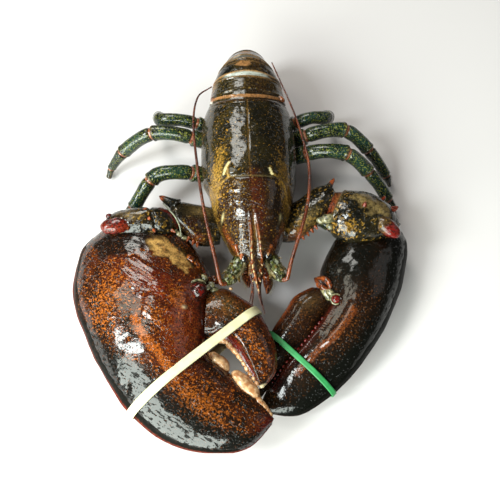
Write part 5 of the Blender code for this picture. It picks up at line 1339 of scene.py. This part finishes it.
def long_feeler(side, word):
    """Whip of a long feeler: a thin tube, finely ringed, that runs back beside the body."""
    if side < 0:
        line = [(-20.5, -51.5, 54), (-24.5, -51.5, 57), (-28, -38, 64), (-38.5, 5, 76), (-46, 50, 80),
                (-50.5, 95, 78), (-47, 121, 76), (-35, 132, 75)]
    else:
        line = [(28, -48, 54), (31.5, -47.5, 57), (34.5, -36, 63), (48.5, 10, 77), (51, 48, 80),
                (45, 80, 80), (37.6, 108, 78), (20, 152, 84)]
    whip = Skin(tube_rings(line, (1.9, 1.8, 1.7, 1.4, 1.2, 1.0, 0.8, 0.5), 620, 14))
    whip.lift(0.05 * np.sign(np.sin(whip.share * math.pi * 300)))
    whip.mark(ruddy=0.7, orange=0.3 * (1 - whip.share) + 0.15 * np.sin(whip.share * 40))
    piece("feeler_whip_" + word, [whip], SHELL_FEELER, "feeler_shell", "feeler_" + word)


def small_feeler(side, word):
    """Pair of small feelers: a short jointed stem and two finely ringed twigs."""
    centre = 5 + 4.2 * side
    stem = Skin(tube_rings([(centre, -26, 54), (centre, -36, 54), (centre + side, -44, 54)],
                           (2.6, 2.4, 1.4), 40, 24), speck=0.5, tan=0.3)
    stem.lift(-0.4 * np.maximum(stem.span(0.4, 0.02), stem.span(0.7, 0.02)))
    twigs = [Skin(tube_rings([(centre + side, -42, 54), *ends], (1.1, 0.8, 0.5), 120, 10), ruddy=0.6)
             for ends in (([(2.8, -55, 55), (1.8, -70, 53)], [(1.8, -55, 53), (-0.4, -67, 51)]) if side < 0
                          else ([(8.6, -57, 52), (12.4, -77, 49)], [(7.0, -57, 55), (9.8, -70, 51)]))]
    for twig in twigs:
        twig.lift(0.06 * np.sign(np.sin(twig.share * math.pi * 56)))
    piece("small_feeler_" + word, [stem, *twigs], SHELL_FEELER, "feeler_shell", "antennule_" + word)


def mouth_leg(side, word):
    """Outer mouth leg: a tube with two joints, and bristles along its sides."""
    jaw_path = ([(-4, -14, 33), (-3.5, -28, 34), (-2.5, -41, 35), (-1, -49, 37)] if side < 0 else
                [(13, -14, 33), (14.5, -30, 34), (16, -46, 35), (15, -55, 37)])
    jaw = Skin(tube_rings(jaw_path, (5.5, 5.0, 4.2, 1.0), 80, 40))
    jaw_rings = np.maximum(jaw.span(0.35, 0.015), jaw.span(0.66, 0.015))
    jaw.lift(0.3 * cloud(jaw.at, 5, 160) - 0.7 * jaw_rings)
    jaw.mark(speck=0.45, ruddy=0.5, orange=0.4 * jaw_rings)
    piece("mouth_leg_shell_" + word, [jaw], SHELL_FEELER, "feeler_shell", "mouth_leg_" + word)
    inner = [2, 6, 34, 38] if side < 0 else [14, 18, 22, 26]
    feet = jaw.at[20:78:2][:, inner].reshape(-1, 3)
    ways = jaw.outward()[20:78:2][:, inner].reshape(-1, 3) + [0, -0.5, 0.1]
    piece("mouth_bristles_" + word, [Hairs(feet, ways, 4.0, 0.13)], BRISTLE, "feeler_shell")


# ---------------------------------------------------------------- rubber bands

def bands():
    """Two flat rubber bands, each pulled round both fingers of a claw."""
    crusher = (rail_rings(CRUSHER_PALM, 90, 60, (1.5, 2.0), CRUSHER_KNOTS),
               rail_rings(CRUSHER_THUMB, 60, 40, (1.7, 2.0)))
    cutter = (rail_rings(CUTTER_PALM, 90, 60, (1.9, 1.5), CUTTER_KNOTS),
              rail_rings(CUTTER_THUMB, 60, 40, (2.0, 1.5)))
    yellow = Skin(band_rings(crusher, (-97.6, -157.8), (4.9, -72.5), 36, 300, 7.8), loop=True)
    green = Skin(band_rings(cutter, (17.8, -87.5), (68.0, -135.0), 20, 260, 4.8), loop=True)
    piece("crusher_rubber_band", [yellow], RUBBER_YELLOW, "band_yellow", "band_crusher")
    piece("cutter_rubber_band", [green], RUBBER_GREEN, "band_green", "band_cutter")


back_shell()
tail_segments()
tail_fan()
crusher_claw()
crusher_hinge_ball()
crusher_teeth()
crusher_hinge_folds()
crusher_finger()
cutter_claw()
cutter_hinge_folds()
cutter_finger()
crusher_wrist()
crusher_arm()
cutter_wrist()
cutter_arm()
arm_knuckles()
walking_legs()
for animal_side, side_word in ((-1, "right"), (1, "left")):
    eye(animal_side, side_word)
    feeler_stalk(animal_side, side_word)
    long_feeler(animal_side, side_word)
    small_feeler(animal_side, side_word)
    mouth_leg(animal_side, side_word)
bands()


# ---------------------------------------------------------------- floor, light and camera

def floor():
    """Plain pale floor, one large square."""
    mesh = bpy.data.meshes.new("floor")
    mesh.from_pydata([(x * FLOOR_HALF, y * FLOOR_HALF, -FLOOR_DROP)
                      for x, y in ((-1, -1), (1, -1), (1, 1), (-1, 1))], [], [(0, 1, 2, 3)])
    # Matt emulsion paint: even, light grey, no sheen.
    mesh.materials.append(new_finish("floor_paint", Base_Color=colour("#d8d3d4"), Roughness=0.7)[0])
    plane = bpy.data.objects.new("floor", mesh)
    bpy.context.scene.collection.objects.link(plane)


def soft_light(name, place, aim, size, power, tone="#ffffff"):
    """Rectangular area light at a place, aimed at a point; metres and watts."""
    lamp = bpy.data.lights.new(name, "AREA")
    lamp.shape, lamp.size, lamp.size_y = "RECTANGLE", size[0], size[1]
    lamp.energy, lamp.color = power, colour(tone)[:3]
    made = bpy.data.objects.new(name, lamp)
    bpy.context.scene.collection.objects.link(made)
    made.location = place
    made.rotation_euler = aimed(place, aim)


def aimed(place, aim):
    """Rotation that points an object's -Z axis from place to aim."""
    return (Vector(aim) - Vector(place)).to_track_quat("-Z", "Y").to_euler()


def studio():
    """Three lamps from the left round to the back, a wide low one in front on the left, a faint one on the
    right, and dim light all round."""
    world = bpy.data.worlds.new("dim_air")
    world.use_nodes = True
    world.node_tree.nodes["Background"].inputs["Color"].default_value = colour("#f2f0ea")
    world.node_tree.nodes["Background"].inputs["Strength"].default_value = 0.08
    bpy.context.scene.world = world
    soft_light("window_left", (-0.81, -0.31, 0.92), (-0.08, -0.08, 0.04), (0.30, 0.50), 15, "#f0f8f6")
    soft_light("window_mid", (-0.63, 0.15, 1.04), (0, -0.05, 0.04), (0.29, 0.40), 2.2, "#f8f4e0")
    soft_light("window_back", (-0.34, 0.74, 1.05), (0, 0.05, 0.05), (0.44, 0.5), 8, "#f6f6ee")
    soft_light("wall_front", (-0.66, -1.06, 0.52), (0, 0, 0.03), (1.30, 0.95), 56, "#ecf6ee")
    soft_light("fill_right", (1.0, 0.2, 0.9), (0, 0, 0.03), (0.8, 0.6), 1)


def camera():
    """Camera in front of and above the animal, level, looking down at the aim point on the floor."""
    lens = bpy.data.cameras.new("camera")
    lens.sensor_width = SENSOR_WIDTH
    lens.lens = SENSOR_WIDTH * FOCAL_SHARE
    made = bpy.data.objects.new("camera", lens)
    bpy.context.scene.collection.objects.link(made)
    aim = SHIFT * MM
    rise = math.radians(CAMERA_ELEVATION)
    made.location = aim + CAMERA_DISTANCE * np.array([0, -math.cos(rise), math.sin(rise)])
    made.rotation_euler = aimed(made.location, aim)
    bpy.context.scene.camera = made


floor()
studio()
camera()
bpy.context.scene.view_settings.view_transform = "Standard"
